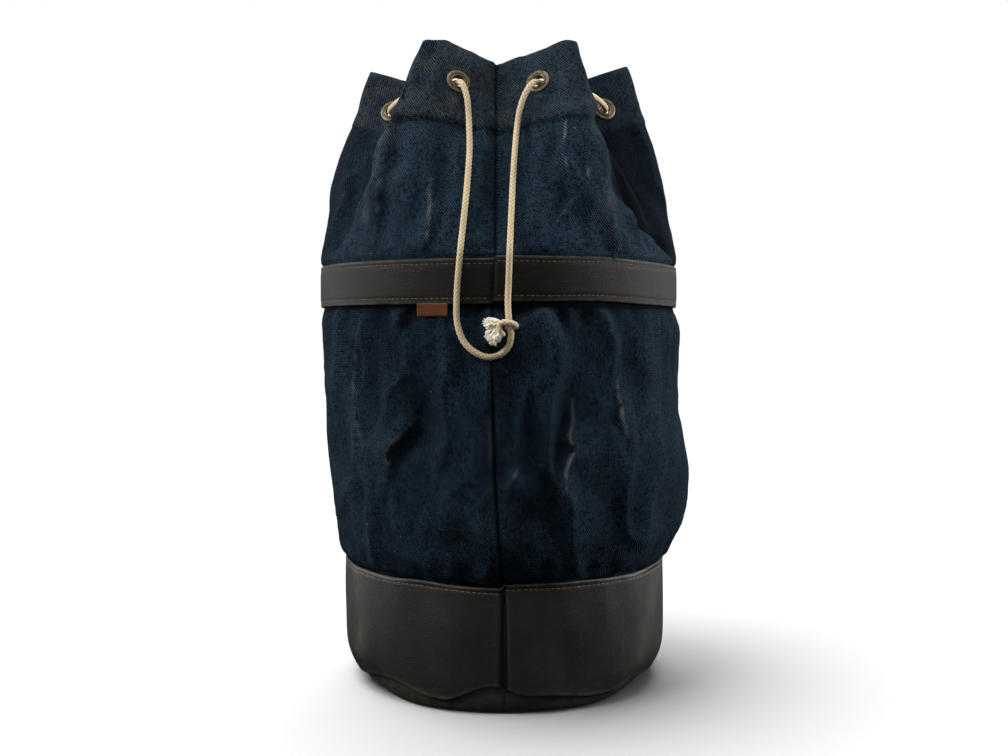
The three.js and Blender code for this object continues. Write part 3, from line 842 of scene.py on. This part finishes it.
def knot():
    random = np.random.default_rng(11)
    turns = [
        braided_cord("turn", spline(MM * np.array(points) + KNOT_CENTRE, LEG_STEP), KNOT_SIDES)
        for points in (KNOT_CORE, KNOT_WRAP)
    ]
    rope = place_mesh(join_meshes("knot_wrap", turns), cord_cotton, "cotton", "drawstring_knot")
    strands = [strand for row in TUFTS for strand in tuft(*row, random)]
    fray = place_mesh(join_meshes("knot_fray", strands), fray_cotton, "cotton")
    return [rope, fray]


knot_pieces = knot()


# Eyelets


def eyelet_mesh(name, centre, normal):
    side = unit(np.cross(normal, (0, 0, 1)))
    over = np.cross(side, normal)
    angle = (np.arange(EYELET_SIDES) * 2 * math.pi / EYELET_SIDES)[:, None]
    radius, height = EYELET_PROFILE.T[..., None, None]
    points = centre + radius * (side * np.cos(angle) + over * np.sin(angle)) + height * normal
    quads = grid_quads(len(EYELET_PROFILE), EYELET_SIDES, wrap_rows=True)[:, ::-1]
    groove = 0.85 * bell(radius - EYELET_GROOVE, 0.55 * MM) * (height > 0)
    return new_mesh(name, points, quads, shade=np.repeat(groove, EYELET_SIDES))


for number, (centre, normal) in enumerate(EYELETS, 1):
    mesh = eyelet_mesh(f"eyelet_ring_{number:02d}", centre, normal)
    place_mesh(mesh, brass, "brass", f"eyelet_{number:02d}")


# Denim panels. The points of a grid are in metres; at holds them in millimetres, as the relief is.


def line_distance(at, line):
    """Signed distance of front points from a line across and up, and the share along it."""
    flat, line = at[..., [0, 2]], np.asarray(line, float)
    starts = run_lengths(line)
    best = np.full(flat.shape[:-1], np.inf)
    signed, share = np.zeros_like(best), np.zeros_like(best)
    for a, b, start, end in zip(line, line[1:], starts, starts[1:]):
        way = unit(b - a)
        along = np.clip((flat - a) @ way, 0, end - start)
        off = flat - a - along[..., None] * way
        distance = np.linalg.norm(off, axis=-1)
        nearer = distance < best
        side = np.sign(off[..., 1] * way[0] - off[..., 0] * way[1])
        best = np.where(nearer, distance, best)
        signed = np.where(nearer, distance * side, signed)
        share = np.where(nearer, (start + along) / starts[-1], share)
    return signed, share


def crease_relief(at, normals):
    """Rise of the cloth and wear along the creases of the front."""
    facing = smooth(-normals[..., 1], 0.1, 0.4)
    relief, wear = np.zeros((2, *facing.shape))
    rough = noise(at, 4, 71)
    broken = smooth(noise(at, 6, 72) + 0.5 * noise(at, 2, 73), -0.5, 0.5)
    for rise, width, flank, worn, line in CREASES:
        distance, share = line_distance(at, line)
        distance = distance * flank + 0.5 * rough
        ends = np.sqrt(np.sin(math.pi * np.clip(share, 0.02, 0.98))) * facing
        crest = bell(distance, np.where(distance > 0, 0.7, 2.6) * width)
        hollow = bell(distance - 2.2 * width, 1.4 * width)
        relief += ends * rise * (crest - 0.8 * hollow)
        wear += ends * worn * bell(distance - 0.3, 0.95) * broken
    return relief, wear


def seam_offset(at):
    """Distance across from the front seam; far away for the back of the bag."""
    across = np.interp(at[..., 2], SEAM_HEIGHTS, SEAM_ACROSS)
    return np.where(at[..., 1] < 0, at[..., 0] - across, 1000)


def side_calm(turn):
    """Folds are lower at the sides of the bag, where they would shift its outline."""
    return 1 - 0.65 * bell(abs(turn_apart(turn)) - 90, 26)


def clear_of_cords(at, relief):
    """Keeps the cloth from rising where a leg of the drawstring lies on it."""
    for leg in (LEFT_LEG, RIGHT_LEG):
        distance, _ = line_distance(at, leg[:, [0, 2]] / MM)
        under = (at[..., 1] < 0) * (1 - smooth(abs(distance), 4, 12))
        relief = mix(relief, np.minimum(relief, CORD_REST), under)
    return relief


def raised(grid, normals, relief):
    return grid + normals * (MM * relief)[..., None]


def column_map(across, up):
    """Cloth map from the distance across, with the closing column, and the distance up."""
    return np.stack(np.broadcast_arrays(across, up), -1)


def round_map(turns, radius, up):
    return column_map(np.radians(np.append(turns, 180))[None] * radius, up)


def upper_map(places, rows):
    """Cloth map of the upper panel, as wide as the band at its foot and as the gathered rim at its top."""
    closed, faces = np.append(places, FACES), np.arange(FACES + 1)
    steps = np.append(0, np.cumsum(turn_apart(np.roll(BAND_TURNS, -1), BAND_TURNS)))
    at_band = np.interp(closed, faces, np.radians(steps) * BAND_RADIUS)
    at_rim = np.interp(closed, faces, FACE_STARTS)
    across = mix(at_band, at_rim, clipped(rows / rows[-1])[:, None])
    return column_map(across, MM * rows[:, None])


def seat_eyelets(grid):
    """Presses the cloth flat round every eyelet."""
    for centre, normal in EYELETS:
        off = (grid - centre) / MM
        height = off @ normal
        radius = np.linalg.norm(off - height[..., None] * normal, axis=-1)
        seat = (1 - smooth(radius, 11, 19)) * (1 - smooth(abs(height), 4, 9))
        grid = raised(grid, normal, -height * seat)
    return grid


def upper_panel():
    """Upper panel: the lobes of the gathered mouth with their folds, hem, creases and eyelet holes."""
    counts = [FRONT_COLUMNS if face in FRONT_FACES else BACK_COLUMNS for face in range(FACES)]
    places = np.concatenate([face + np.arange(count) / count for face, count in enumerate(counts)])
    shares = np.linspace(0, 1, UPPER_ROWS)[:, None]
    grid = upper_point(places[None], shares)
    grid[..., 2] += eased(places, RIM_LIFT_PLACES, RIM_LIFT) * smooth(shares, 0.6, 1)
    normals = grid_normals(grid)
    at = grid / MM
    up = UPPER_CLOTH * shares
    turns = band_turn(places)
    to_front = np.minimum(places, FACES - places)
    front = 1 - smooth(to_front, 0.9, 1.6)
    # 0 in the valleys and 1 on the ridges
    fold = 1 - abs(places % 2 - 1)
    seam = seam_offset(at)
    seam_line = bell(seam, SEAM_LINE)
    relief, wear = crease_relief(at, normals)

    # Full lobes with narrow valleys, drawn in under the front's hem and at the waist of the side lobes
    lobes = bell(fold - 0.74, 0.2) * smooth(shares, 0.08, 0.4) * (1 - 0.6 * smooth(shares, 0.72, 1))
    relief += LOBE_RISE * lobes
    relief -= VALLEY_DEPTH * bell(fold, 0.07) * smooth(shares, 0.25, 0.7)
    relief -= DRAW_DEPTH * bell(fold - 1, 0.4) * bell(shares - 0.72, 0.16) * (to_front < 2)
    waist = WAIST_DEPTH * bell(shares - 0.24, 0.11) + NECK_DEPTH * bell(shares - 0.79, 0.1)
    relief -= waist * bell(to_front - 3, 0.7)

    # The front lobe ends in a fold that runs from its ridge down to the valley at the band
    past_fold = to_front - mix(1.95, 1.08, smooth(shares, 0, 0.34))
    behind = bell(past_fold - 0.24, 0.2) * smooth(shares, 0, 0.16) * (1 - smooth(shares, 0.6, 0.76))
    relief -= FOLD_DEPTH * behind

    # The hem stands out over a hollow
    hem_share = mix(FRONT_HEM_SHARE, SIDE_HEM_SHARE, smooth(to_front, 1, 1.5))
    from_hem = up - UPPER_CLOTH * hem_share + 1.2 * noise(at, 30, 3)
    hem = smooth(from_hem, -3, 2)
    hollow = bell(from_hem + 5.5, np.where(from_hem < -5.5, 12, 5))
    pull = front * (1.2 + 1.2 * bell(fold - 0.85, 0.2) + 1.6 * bell(fold, 0.14)) + 0.4
    pull = pull * (1 + 0.6 * noise(at, 34, 5))
    relief += HEM_RISE * hem + pull * (0.55 * bell(from_hem - 5, 7) - hollow)

    # Rumples, tucks along the band and the seam
    rumple = 2.6 * fractal(at, (24, 24, 64), 21) + 0.6 * fractal(at, 9, 25, 2)
    rumple += 3.8 * folds(at, (22, 22, 60), 27) * smooth(up, 4, 30)
    relief += rumple * side_calm(turns) * (1 - 0.5 * hem)
    tucks = np.cos(2 * math.pi * np.radians(turns) * BAND_RADIUS / (TUCK_PITCH * MM))
    relief += 0.9 * tucks * bell(up, 17) * noise(at, 30, 33)
    relief -= SEAM_DEPTH * seam_line + 2.4 * np.exp(-abs(seam) / 7) - 0.4 * bell(seam + 3.4, 1.6)
    relief = clear_of_cords(at, relief)
    grid = raised(grid, normals, relief * smooth(up, 0, 5))
    grid = seat_eyelets(grid)

    # Wear, dust and painted shade
    at = grid / MM
    crown = bell(fold - 1, 0.1)
    worn = 0.12 * crown + 0.2 * smooth(up - UPPER_CLOTH, -5, -0.5) + 0.14 * bell(from_hem - 0.4, 0.9)
    wear += smooth(noise(at, 12, 81), -0.2, 0.7) * (worn + 0.12 * bell(seam + 2.6, 0.9))
    # The dust mark's pale coat lies on the hem and the ridge crowns, with more of it over the left half,
    # which comes out paler than the right
    left = smooth(-at[..., 0], -90, 60)
    dust = hem * (0.36 + 0.4 * left) + (0.12 + 0.18 * front) * crown + 0.16 * left * smooth(shares, 0.1, 0.6)
    # Painted shadow: past the fold that ends the front lobe, round the sides and the back, the cloth is
    # darkened as if the front lobe shadowed it, and the right lobe more so. Painted shade also darkens the
    # cloth just under the front's hem and in the fold behind the front lobe.
    painted_side_shade = smooth(past_fold, -0.1, 0.3)
    painted_right_shade = painted_side_shade * (1 - smooth(places, 2, 3.2))
    shade = seam_line + 0.3 * front * bell(from_hem + 2.4, 1.8) + 0.5 * painted_side_shade * (1 - 0.5 * hem)
    shade = shade + 0.34 * painted_right_shade + 0.15 * behind + 0.05

    # Two more rows go down behind the band
    tucked = [on_round(TUCK_RADIUS, turns, BAND_SHIFT, z) for z in (JOIN_HEIGHT + GAP, BAND_HIGH + GAP)]
    rows = np.append([-20, -5], up)
    marks = {"wear": clipped(wear), "dust": dust, "shade": clipped(shade)}
    marks = {key: np.pad(values, ((2, 0), (0, 0)), "edge") for key, values in marks.items()}
    thickness = np.where(rows < HEM_SHARE * rows[-1], DENIM, HEM)
    cloth = upper_map(places, rows)
    mesh = sheet_mesh("upper_panel", np.concatenate([tucked, grid]), thickness, cloth, marks)
    punch_holes(mesh)
    return mesh


def punch_holes(mesh):
    """Round holes for the eyelets, with their edges closed through the hem."""
    with editing(mesh) as body:
        for centre, normal in EYELETS:

            def spoke(point):
                off = np.array(point) - centre
                height = off @ normal
                return off - height * normal, height

            def inside(point):
                flat, height = spoke(point)
                return np.linalg.norm(flat) < EYELET_HOLE and abs(height + HEM / 2) < EYELET_DEPTH

            def close(edge):
                return all(np.linalg.norm(spoke(vertex.co)[0]) < 2 * EYELET_HOLE for vertex in edge.verts)

            doomed = [face for face in body.faces if inside(face.calc_center_median())]
            bmesh.ops.delete(body, geom=doomed, context="FACES")
            rim = [edge for edge in body.edges if edge.is_boundary and close(edge)]
            for vertex in {vertex for edge in rim for vertex in edge.verts}:
                flat, height = spoke(vertex.co)
                vertex.co = centre + normal * height + unit(flat) * EYELET_HOLE
            bmesh.ops.bridge_loops(body, edges=rim)
        bmesh.ops.recalc_face_normals(body, faces=body.faces)


def spread_turns(count):
    """Turns round the bag, closer together over the front half."""
    share = np.arange(count) / count * 2 - 1
    return 180 * (0.72 * share + 0.28 * share**3)


# Sag of the lower panel: cloth that is a little too large for its place, let fall between base and band
SAG_ROWS, SAG_COLUMNS = 56, 200
SAG_FRAMES = 22
SAG_GROWTH = 0.03
SAG_LIMIT = 4 * MM
SAG_START = 0.25 * MM
SAG_CLOTH = {
    "quality": 5, "mass": 0.005, "tension_stiffness": 20, "compression_stiffness": 20,
    "shear_stiffness": 10, "bending_stiffness": 1.5, "shrink_min": -SAG_GROWTH, "shrink_max": -SAG_GROWTH,
    "vertex_group_mass": "held", "use_pressure": True, "uniform_pressure_force": 0.1,
}


def simulated(grid):
    """Where a closed tube of cloth, held along both ends, comes to lie after a few frames."""
    rows, columns = grid.shape[:2]
    mesh = new_mesh("sag", grid, grid_quads(rows, columns))
    tube = bpy.data.objects.new("sag", mesh)
    scene.collection.objects.link(tube)
    number = np.arange(rows * columns).reshape(rows, columns)
    ends = np.concatenate([number[:2].ravel(), number[-2:].ravel()])
    tube.vertex_groups.new(name="held").add(ends.tolist(), 1.0, "REPLACE")
    cloth = tube.modifiers.new("cloth", "CLOTH")
    for key, value in SAG_CLOTH.items():
        setattr(cloth.settings, key, value)
    cloth.collision_settings.use_collision = False
    cloth.point_cache.frame_end = SAG_FRAMES
    for moment in range(1, SAG_FRAMES + 1):
        scene.frame_set(moment)
    points = np.empty(grid.size)
    fallen = tube.evaluated_get(bpy.context.evaluated_depsgraph_get()).to_mesh()
    fallen.vertices.foreach_get("co", points)
    bpy.data.objects.remove(tube)
    bpy.data.meshes.remove(mesh)
    scene.frame_set(1)
    return points.reshape(grid.shape)


def sag_relief(turns, heights):
    """Rise of the lower panel where it sags, at the given turns and heights."""
    coarse_turns = np.linspace(-180, 180, SAG_COLUMNS, endpoint=False)
    coarse_heights = np.linspace(WALL_TOP, BAND_LOW - 2 * MM, SAG_ROWS)
    radius, shift = section_at(LOWER_SECTIONS, coarse_heights[:, None])
    grid = on_round(radius, coarse_turns[None], shift, coarse_heights[:, None])
    row = np.arange(SAG_ROWS)[:, None, None]
    free = (row > 1) & (row < SAG_ROWS - 2)
    grid = grid + free * np.random.default_rng(5).normal(0, SAG_START, grid.shape)
    rise = np.sum((simulated(grid) - grid) * grid_normals(grid), -1)
    rise = SAG_LIMIT * np.tanh((rise - rise.mean(1, keepdims=True)) / (1.7 * SAG_LIMIT))
    closed = np.concatenate([rise, rise[:, :1]], 1)
    rise = np.array([np.interp(turns, np.append(coarse_turns, 180), row) for row in closed])
    rise = np.array([np.interp(heights, coarse_heights, column, left=0, right=0) for column in rise.T]).T
    for _ in range(4):
        rise = (np.roll(rise, 1, 1) + 2 * rise + np.roll(rise, -1, 1)) / 4
        rise[1:-1] = (rise[:-2] + 2 * rise[1:-1] + rise[2:]) / 4
    return rise


def lower_panel():
    """Lower panel: a sagging tube, puckered over the base and gathered under the band."""
    turns = spread_turns(ROUND_COLUMNS)
    heights = np.linspace(LOWER_SECTIONS[0, 0], LOWER_SECTIONS[-1, 0], LOWER_ROWS)
    height = heights[:, None]
    z = height / MM
    above_base, below_band = z - WALL_TOP / MM, BAND_LOW / MM - z
    dent = sum(
        depth * bell(turn_apart(turns, facing), spread) * bell(z - middle, reach)
        for facing, spread, middle, reach, depth in LOWER_FOLDS
    )
    radius, shift = section_at(LOWER_SECTIONS, height)
    grid = on_round(radius - MM * dent, turns, shift, height)
    normals = grid_normals(grid)
    at = grid / MM
    seam = seam_offset(at)
    seam_line = bell(seam, SEAM_LINE)
    relief, wear = crease_relief(at, normals)
    rumple = 3.2 * fractal(at, (32, 32, 66), 41) + 0.6 * fractal(at, 10, 45, 2)
    rumple += 4.6 * folds(at, (28, 28, 70), 47)
    sag = sag_relief(turns, heights) / MM
    rumple += sag * mix(0.6, 1, smooth(abs(turns), 50, 80))
    angle = np.radians(turns)
    relief += side_calm(turns) * rumple
    relief += PUCKER_RISE * np.cos(PUCKERS * angle + 2.4 * noise(at, 30, 51)) * bell(above_base - 9, 9)
    relief += GATHER_RISE * np.cos(GATHERS * angle + 3 * noise(at, 36, 53)) * bell(below_band - 7, 12)
    relief *= smooth(above_base, 0.5, 9) * smooth(below_band, 1, 8)
    seam_dip = SEAM_DEPTH * seam_line + 1.3 * np.exp(-abs(seam) / 6) - 0.6 * bell(seam + 3.6, 1.8)
    relief = clear_of_cords(at, relief - seam_dip * smooth(above_base, 0, 4))
    grid = raised(grid, normals, relief)
    at = grid / MM
    seam_worn = 0.5 * bell(z - WORN_SEAM, 24) * bell(seam + 2.2, 1.2) + 0.14 * bell(seam + 2.6, 0.9)
    wear += seam_worn * smooth(noise(at, 12, 91), -0.1, 0.7)
    wear += 0.7 * bell(above_base - 2, 1.4) * smooth(noise(at, 4, 92), 0.3, 0.8)
    # Painted shade: darker just above the base and just under the band, where the cloth meets the leather,
    # darker over the whole panel, and darker in the hollows of the folds, with the crests paler as worn
    # cloth; the seam is a dark line
    shade = seam_line + 0.75 * bell(above_base - 0.5, 3) + 0.6 * bell(below_band - 2, 3)
    shade = shade + 0.35 - 0.26 * np.clip(relief / 6, -1, 1)
    dust = 0.1 * smooth(noise(at, 50, 93), 0, 0.8)
    marks = {"wear": clipped(wear), "dust": dust, "shade": clipped(shade)}
    return sheet_mesh("lower_panel", grid, DENIM, round_map(turns, LOWER_MAP_RADIUS, height), marks)


upper = place_mesh(upper_panel(), denim, "denim", "denim_upper")
lower = place_mesh(lower_panel(), denim, "denim", "denim_lower")


# Leather


def base_radius(sections, z, turn):
    """Radius of the leather base: upright in front, curling in to the floor at the sides and the back."""
    front, side = section_at(sections, z)
    return mix(front, side, smooth(abs(turn_apart(turn)), CURL_START, CURL_END))


def seam_step(grid):
    """Share of the seam's step on the left of the front seam and on the right of it."""
    seam = seam_offset(grid / MM)
    near = bell(seam, STEP_REACH)
    right = smooth(seam, -0.6, 0.6)
    return near * (1 - right), near * right


def ring_at(grid, heights):
    """Ring on a surface at a height of its own for every column."""
    columns = zip(heights, np.swapaxes(grid, 0, 1))
    return np.array([[np.interp(z, column[:, 2], axis) for axis in column.T] for z, column in columns])


def base_wall():
    """Wall of the base and the ring on it that the stitches follow."""
    turns = spread_turns(ROUND_COLUMNS)
    # Closer rows under the top edge, where the stitches are
    shares = np.concatenate([np.linspace(0, 0.93, 52), np.linspace(0.937, 1, 9)])[:, None]
    hang = eased(turns, WALL_HANG_TURNS, WALL_HANG)
    z = mix(hang, WALL_TOP, shares)
    above_hang, below_top = (z - hang) / MM, (WALL_TOP - z) / MM
    grid = on_round(base_radius(WALL_SECTIONS, z, turns), turns, BASE_SHIFT, z)
    at = grid / MM
    seam = seam_offset(at)
    gap = mix(3.3, 1, shares)
    relief = 1.3 * fractal(at, (30, 30, 80), 61, 2) - 2.6 * bell(seam, gap)
    relief += 0.5 * bell(abs(seam) - 4, 3) - 0.25 * bell(below_top - BASE_ROW, 0.8)
    grid = raised(grid, grid_normals(grid), relief * smooth(below_top, -1, 2))
    grid[..., 2] -= WALL_STEP * seam_step(grid)[0] * smooth(shares, 0.5, 1)
    at = grid / MM
    # Painted sheen streaks along the sheen lines on the front, a painted highlight along the hanging lower
    # edge, and the pale cut edge at the top
    from_sheen = np.min([abs(line_distance(at, line)[0]) for line in SHEEN_LINES], axis=0)
    painted_sheen = 0.62 * (at[..., 1] < 0) * bell(from_sheen, 6) * (1 + 0.4 * noise(at, 14, 63))
    fade = 0.75 * bell(below_top, 0.8) + bell(above_hang, 1.5) + painted_sheen + 0.03
    marks = {"fade": clipped(fade), "shade": clipped(1.2 * bell(seam, 0.85 * gap))}
    cloth = round_map(turns, WALL_MAP_RADIUS, WALL_TOP * shares)
    row = ring_at(grid, grid[-1, :, 2] - BASE_ROW * MM)
    return sheet_mesh("base_wall_leather", grid, LEATHER, cloth, marks), [row]


def band():
    """Band and the rings on it that the stitches follow."""
    turns = spread_turns(ROUND_COLUMNS)
    z = np.linspace(BAND_LOW, BAND_HIGH, BAND_ROWS)[:, None]
    from_edge = np.minimum(z - BAND_LOW, BAND_HIGH - z) / MM
    grid = on_round(BAND_RADIUS, turns, BAND_SHIFT, z)
    at = grid / MM
    seam = seam_offset(at)
    relief = 0.5 * fractal(at, (40, 40, 60), 65, 2) + 0.35 * smooth(from_edge, 0, 8)
    relief -= SEAM_DEPTH * bell(seam, SEAM_LINE) + 0.3 * bell(from_edge - BAND_ROW, 0.9)
    grid = raised(grid, grid_normals(grid), relief)
    grid[..., 2] += BAND_STEP * seam_step(grid)[1] + BAND_RISE * bell(seam - BAND_RISE_AT, BAND_RISE_REACH)
    # The sides of the band are painted a little paler, a faint painted sheen; its top and bottom edges are
    # pale cut edges
    side = smooth(abs(grid[..., 0]) / MM, 60, 140)
    fade = 0.8 * bell(from_edge, 0.7) + 0.03 * side + 0.03
    marks = {"fade": clipped(fade), "shade": 0.95 * bell(seam, 0.7)}
    rows = [ring_at(grid, grid[edge, :, 2] + up * BAND_ROW * MM) for edge, up in ((0, 1), (-1, -1))]
    cloth = round_map(turns, BAND_RADIUS, z)
    return sheet_mesh("band_leather", grid, BAND_THICK, cloth, marks, BAND_INNER_STEP), rows


# Rings of the bottom, out, up and back in: share of the radius, inset, height on the flank, own height
CUP_RINGS = [
    *((share, 0, 0, 0) for share in (0.004, 0.4, 0.8, 0.95)),
    *((1, 0, z, z) for z in (0.1, 0.5, 1, 2, 3.5, 5.5, 8, 11, 15, 19, 23, 25.2)),
    (1, 0.4, 25.6, 25.7), (1, 1.1, 26, 26), (1, 1.8, 25.6, 25.7), (1, 2.2, 25, 25),
    (1, 2.2, 15, 15), (1, 2.2, 9, 9), (1, 1, 0, 2.2), (0.5, 1, 0, 2.2), (0.004, 0, 0, 2.2),
]


def cup():
    """Bottom with a turned-up rim."""
    share, inset, flank, height = np.array(CUP_RINGS).T[..., None]
    turns = spread_turns(CUP_COLUMNS)
    radius = (base_radius(CUP_SECTIONS, flank * MM, turns) - inset * MM) * share
    grid = on_round(radius, turns, BASE_SHIFT, height * MM)
    seam = seam_offset(grid / MM)
    standing = smooth(height, 2, 9)
    grid = raised(grid, unit(grid * (1, 1, 0)), -0.9 * bell(seam, 1.2) * standing)
    # Painted shadow on the bottom just under the wall's lower edge, and a dark line on its seam
    under_wall = height - eased(turns, WALL_HANG_TURNS, WALL_HANG) / MM
    shade = clipped(0.9 * bell(seam, 1) * standing + 1.1 * bell(under_wall, 4))
    quads = grid_quads(len(CUP_RINGS), CUP_COLUMNS, wrap_rows=True)
    # The whole bottom is painted paler, painted light for the little light that reaches it under the wall
    return new_mesh("base_bottom", grid, quads, shade=shade, fade=np.full(seam.shape, 0.55))


TAB_WIDTH, TAB_HEIGHT, TAB_THICK = 24 * MM, 9.6 * MM, 1.6 * MM
TAB_EDGE = 0.8 * MM
TAB_DIMPLE = 0.12 * MM
TAB_COLUMNS, TAB_ROWS = 60, 28
TAB_TURN = -18.5
TAB_RADIUS = 148.1 * MM


def tab():
    """Bare leather tab with soft corners, turned to face out where it sits on the bag."""
    u, v = np.meshgrid(np.linspace(-1, 1, TAB_COLUMNS), np.linspace(-1, 1, TAB_ROWS))
    reach = 1 - 0.02 * (abs(u) * abs(v)) ** 6
    across, up = u * TAB_WIDTH / 2 * reach, v * TAB_HEIGHT / 2 * reach
    border = np.minimum(TAB_WIDTH / 2 - abs(across), TAB_HEIGHT / 2 - abs(up))
    puff = TAB_THICK / 2 * np.sqrt(clipped(1 - (1 - clipped(border / TAB_EDGE)) ** 2))
    dimple = TAB_DIMPLE * noise(np.stack([across, np.zeros_like(u), up], -1), 5 * MM, 95)
    faces = np.array([np.stack([across, deep, up], -1) for deep in (dimple - puff, puff)])
    turn = math.radians(TAB_TURN)
    spin = np.array([(math.cos(turn), math.sin(turn), 0), (-math.sin(turn), math.cos(turn), 0), (0, 0, 1)])
    middle = on_round(TAB_RADIUS, TAB_TURN, BAND_SHIFT, BAND_LOW - GAP - TAB_HEIGHT / 2)
    number = np.arange(u.size).reshape(u.shape)
    front = corners(number[:, :-1], number[:, 1:])[:-1].reshape(-1, 4)
    quads = np.concatenate([front, front[:, ::-1] + u.size])
    fade = np.tile(0.6 * bell(border, 0.7 * MM), (2, 1))
    mesh = new_mesh("tab_leather", faces @ spin + middle, quads, fade=fade)
    with editing(mesh) as body:
        bmesh.ops.remove_doubles(body, verts=body.verts, dist=0.01 * MM)
    return mesh


wall_mesh, base_rows = base_wall()
band_mesh, band_rows = band()
place_mesh(wall_mesh, base_leather, "leather", "base_wall")
place_mesh(band_mesh, band_leather, "leather", "leather_band")
place_mesh(cup(), base_leather, "leather", "base_cup")
place_mesh(tab(), tan_leather, "tan_leather", "label_tab")


# Stitching

STITCH_RADIUS = 0.38 * MM
STITCH_RINGS, STITCH_SIDES = 7, 6
BAND_PITCH, BASE_PITCH = 4 * MM, 4.2 * MM
# No stitches this near to the front seam, in millimetres
STITCH_CLEAR = 2.5


def stitch_rows(name, rings, pitch, seed):
    """Short stitches along rings, each a tapered thread pressed into the leather."""
    random = np.random.default_rng(seed)
    circle = np.linspace(0, 2 * math.pi, STITCH_SIDES, endpoint=False)[:, None]
    share = np.linspace(-1, 1, STITCH_RINGS)[:, None, None]
    body = np.sqrt(clipped(1 - 0.92 * share**4))
    points = []
    for ring in rings:
        closed = np.concatenate([ring, ring[:1]])
        lengths = run_lengths(closed)
        for number in range(round(lengths[-1] / pitch)):
            at = (number + 0.5 + 0.06 * random.normal()) * pitch
            before, middle, after = at_lengths(at + pitch / 3 * np.array([-1, 0, 1]), lengths, closed)
            if abs(seam_offset(middle / MM)) < STITCH_CLEAR:
                continue
            along = unit(after - before)
            out = unit(np.cross(along, (0, 0, 1)))
            half = pitch * random.uniform(0.6, 0.85) / 2
            spokes = out * np.cos(circle) * 0.75 + np.cross(out, along) * np.sin(circle)
            thick = STITCH_RADIUS * random.uniform(0.85, 1.15) * body
            points.append(middle + along * share * half + spokes * thick)
    points = np.array(points).reshape(len(points), -1, 3)
    count, size = points.shape[:2]
    quads = grid_quads(STITCH_RINGS, STITCH_SIDES) + (np.arange(count) * size)[:, None, None]
    crest = random.uniform(0.2, 1, (count, 1)) * np.ones(size)
    return new_mesh(name, points, quads.reshape(-1, 4), crest=crest)


place_mesh(stitch_rows("band_stitches", band_rows, BAND_PITCH, 3), band_thread, "cotton")
place_mesh(stitch_rows("base_stitches", base_rows, BASE_PITCH, 4), base_thread, "cotton")


# Floor and light

FLOOR_SIZE = 8
square = np.array([(-1, -1, 0), (1, -1, 0), (1, 1, 0), (-1, 1, 0)])
floor_mesh = new_mesh("floor", square * FLOOR_SIZE / 2 - (0, 0, GAP), [(0, 1, 2, 3)])
floor_mesh.materials.append(floor_material())
floor = bpy.data.objects.new("floor", floor_mesh)
scene.collection.objects.link(floor)
floor.visible_diffuse = False
floor.visible_glossy = False

BAG_LIGHT = bpy.data.collections.new("bag_light")
FLOOR_LIGHT = bpy.data.collections.new("floor_light")
FLOOR_LIGHT.objects.link(floor)
for piece in scene.objects:
    if piece.type == "MESH" and piece is not floor:
        BAG_LIGHT.objects.link(piece)

# Soft panels for the bag: name, power, place, height aimed at, width and height of the panel
PANELS = [
    ("top_key", 14, (-0.1, -0.55, 1.75), 0.35, 0.6, 0.6),
    ("front_fill", 5, (-0.3, -1.6, 0.8), 0.3, 0.8, 0.8),
    ("left_key", 28, (-1.6, -0.42, 0.95), 0.25, 0.45, 0.45),
    ("right_key", 28, (1.65, -0.08, 0.85), 0.25, 0.45, 0.45),
    ("left_panel", 8, (-1.1, 0.45, 0.55), 0.2, 0.9, 1.3),
    ("right_panel", 8, (1.1, 0.45, 0.55), 0.2, 0.9, 1.3),
    ("rear_panel", 18, (0.3, 1.5, 1.2), 0.3, 0.9, 1.3),
]
# Suns for the floor: name, strength, place and degrees across
SUNS = [("floor_left", 2.2, (-0.75, -0.1, 1.5), 44), ("floor_back", 2.25, (-0.1, 0.8, 1.3), 60)]


def add_light(name, kind, strength, place, aim, lit, settings):
    """A lamp that is aimed at a height over the origin and lights one collection."""
    lamp = bpy.data.lights.new(name, kind)
    lamp.energy = strength
    for key, value in settings.items():
        setattr(lamp, key, value)
    light = bpy.data.objects.new(name, lamp)
    light.location = place
    x, y, z = place
    light.rotation_euler = (math.atan2(math.hypot(x, y), z - aim), 0, math.atan2(x, -y))
    light.light_linking.receiver_collection = lit
    scene.collection.objects.link(light)


for name, power, place, aim, width, height in PANELS:
    shape = {"shape": "RECTANGLE", "size": width, "size_y": height}
    add_light(name, "AREA", power, place, aim, BAG_LIGHT, shape)
for name, strength, place, degrees in SUNS:
    add_light(name, "SUN", strength, place, 0, FLOOR_LIGHT, {"angle": math.radians(degrees)})

# A dim room, brighter above, and plain white where the camera looks past the bag
world = bpy.data.worlds.new("studio")
scene.world = world
world.use_nodes = True
nodes = Nodes(world.node_tree)
background = world.node_tree.nodes["Background"].inputs
way = nodes.add("SeparateXYZ", {0: nodes.add("TexCoord", {})["Generated"]})
room = nodes.times(nodes.ramp(way[2], -0.2, 0.9), 0.2, plus=0.03)
seen = nodes.add("LightPath", {})["Is Camera Ray"]
nodes.feed(background["Strength"], nodes.math("MAXIMUM", room, seen))
nodes.feed(background["Color"], (1, 1, 1, 1))
scene.view_settings.view_transform = "Standard"
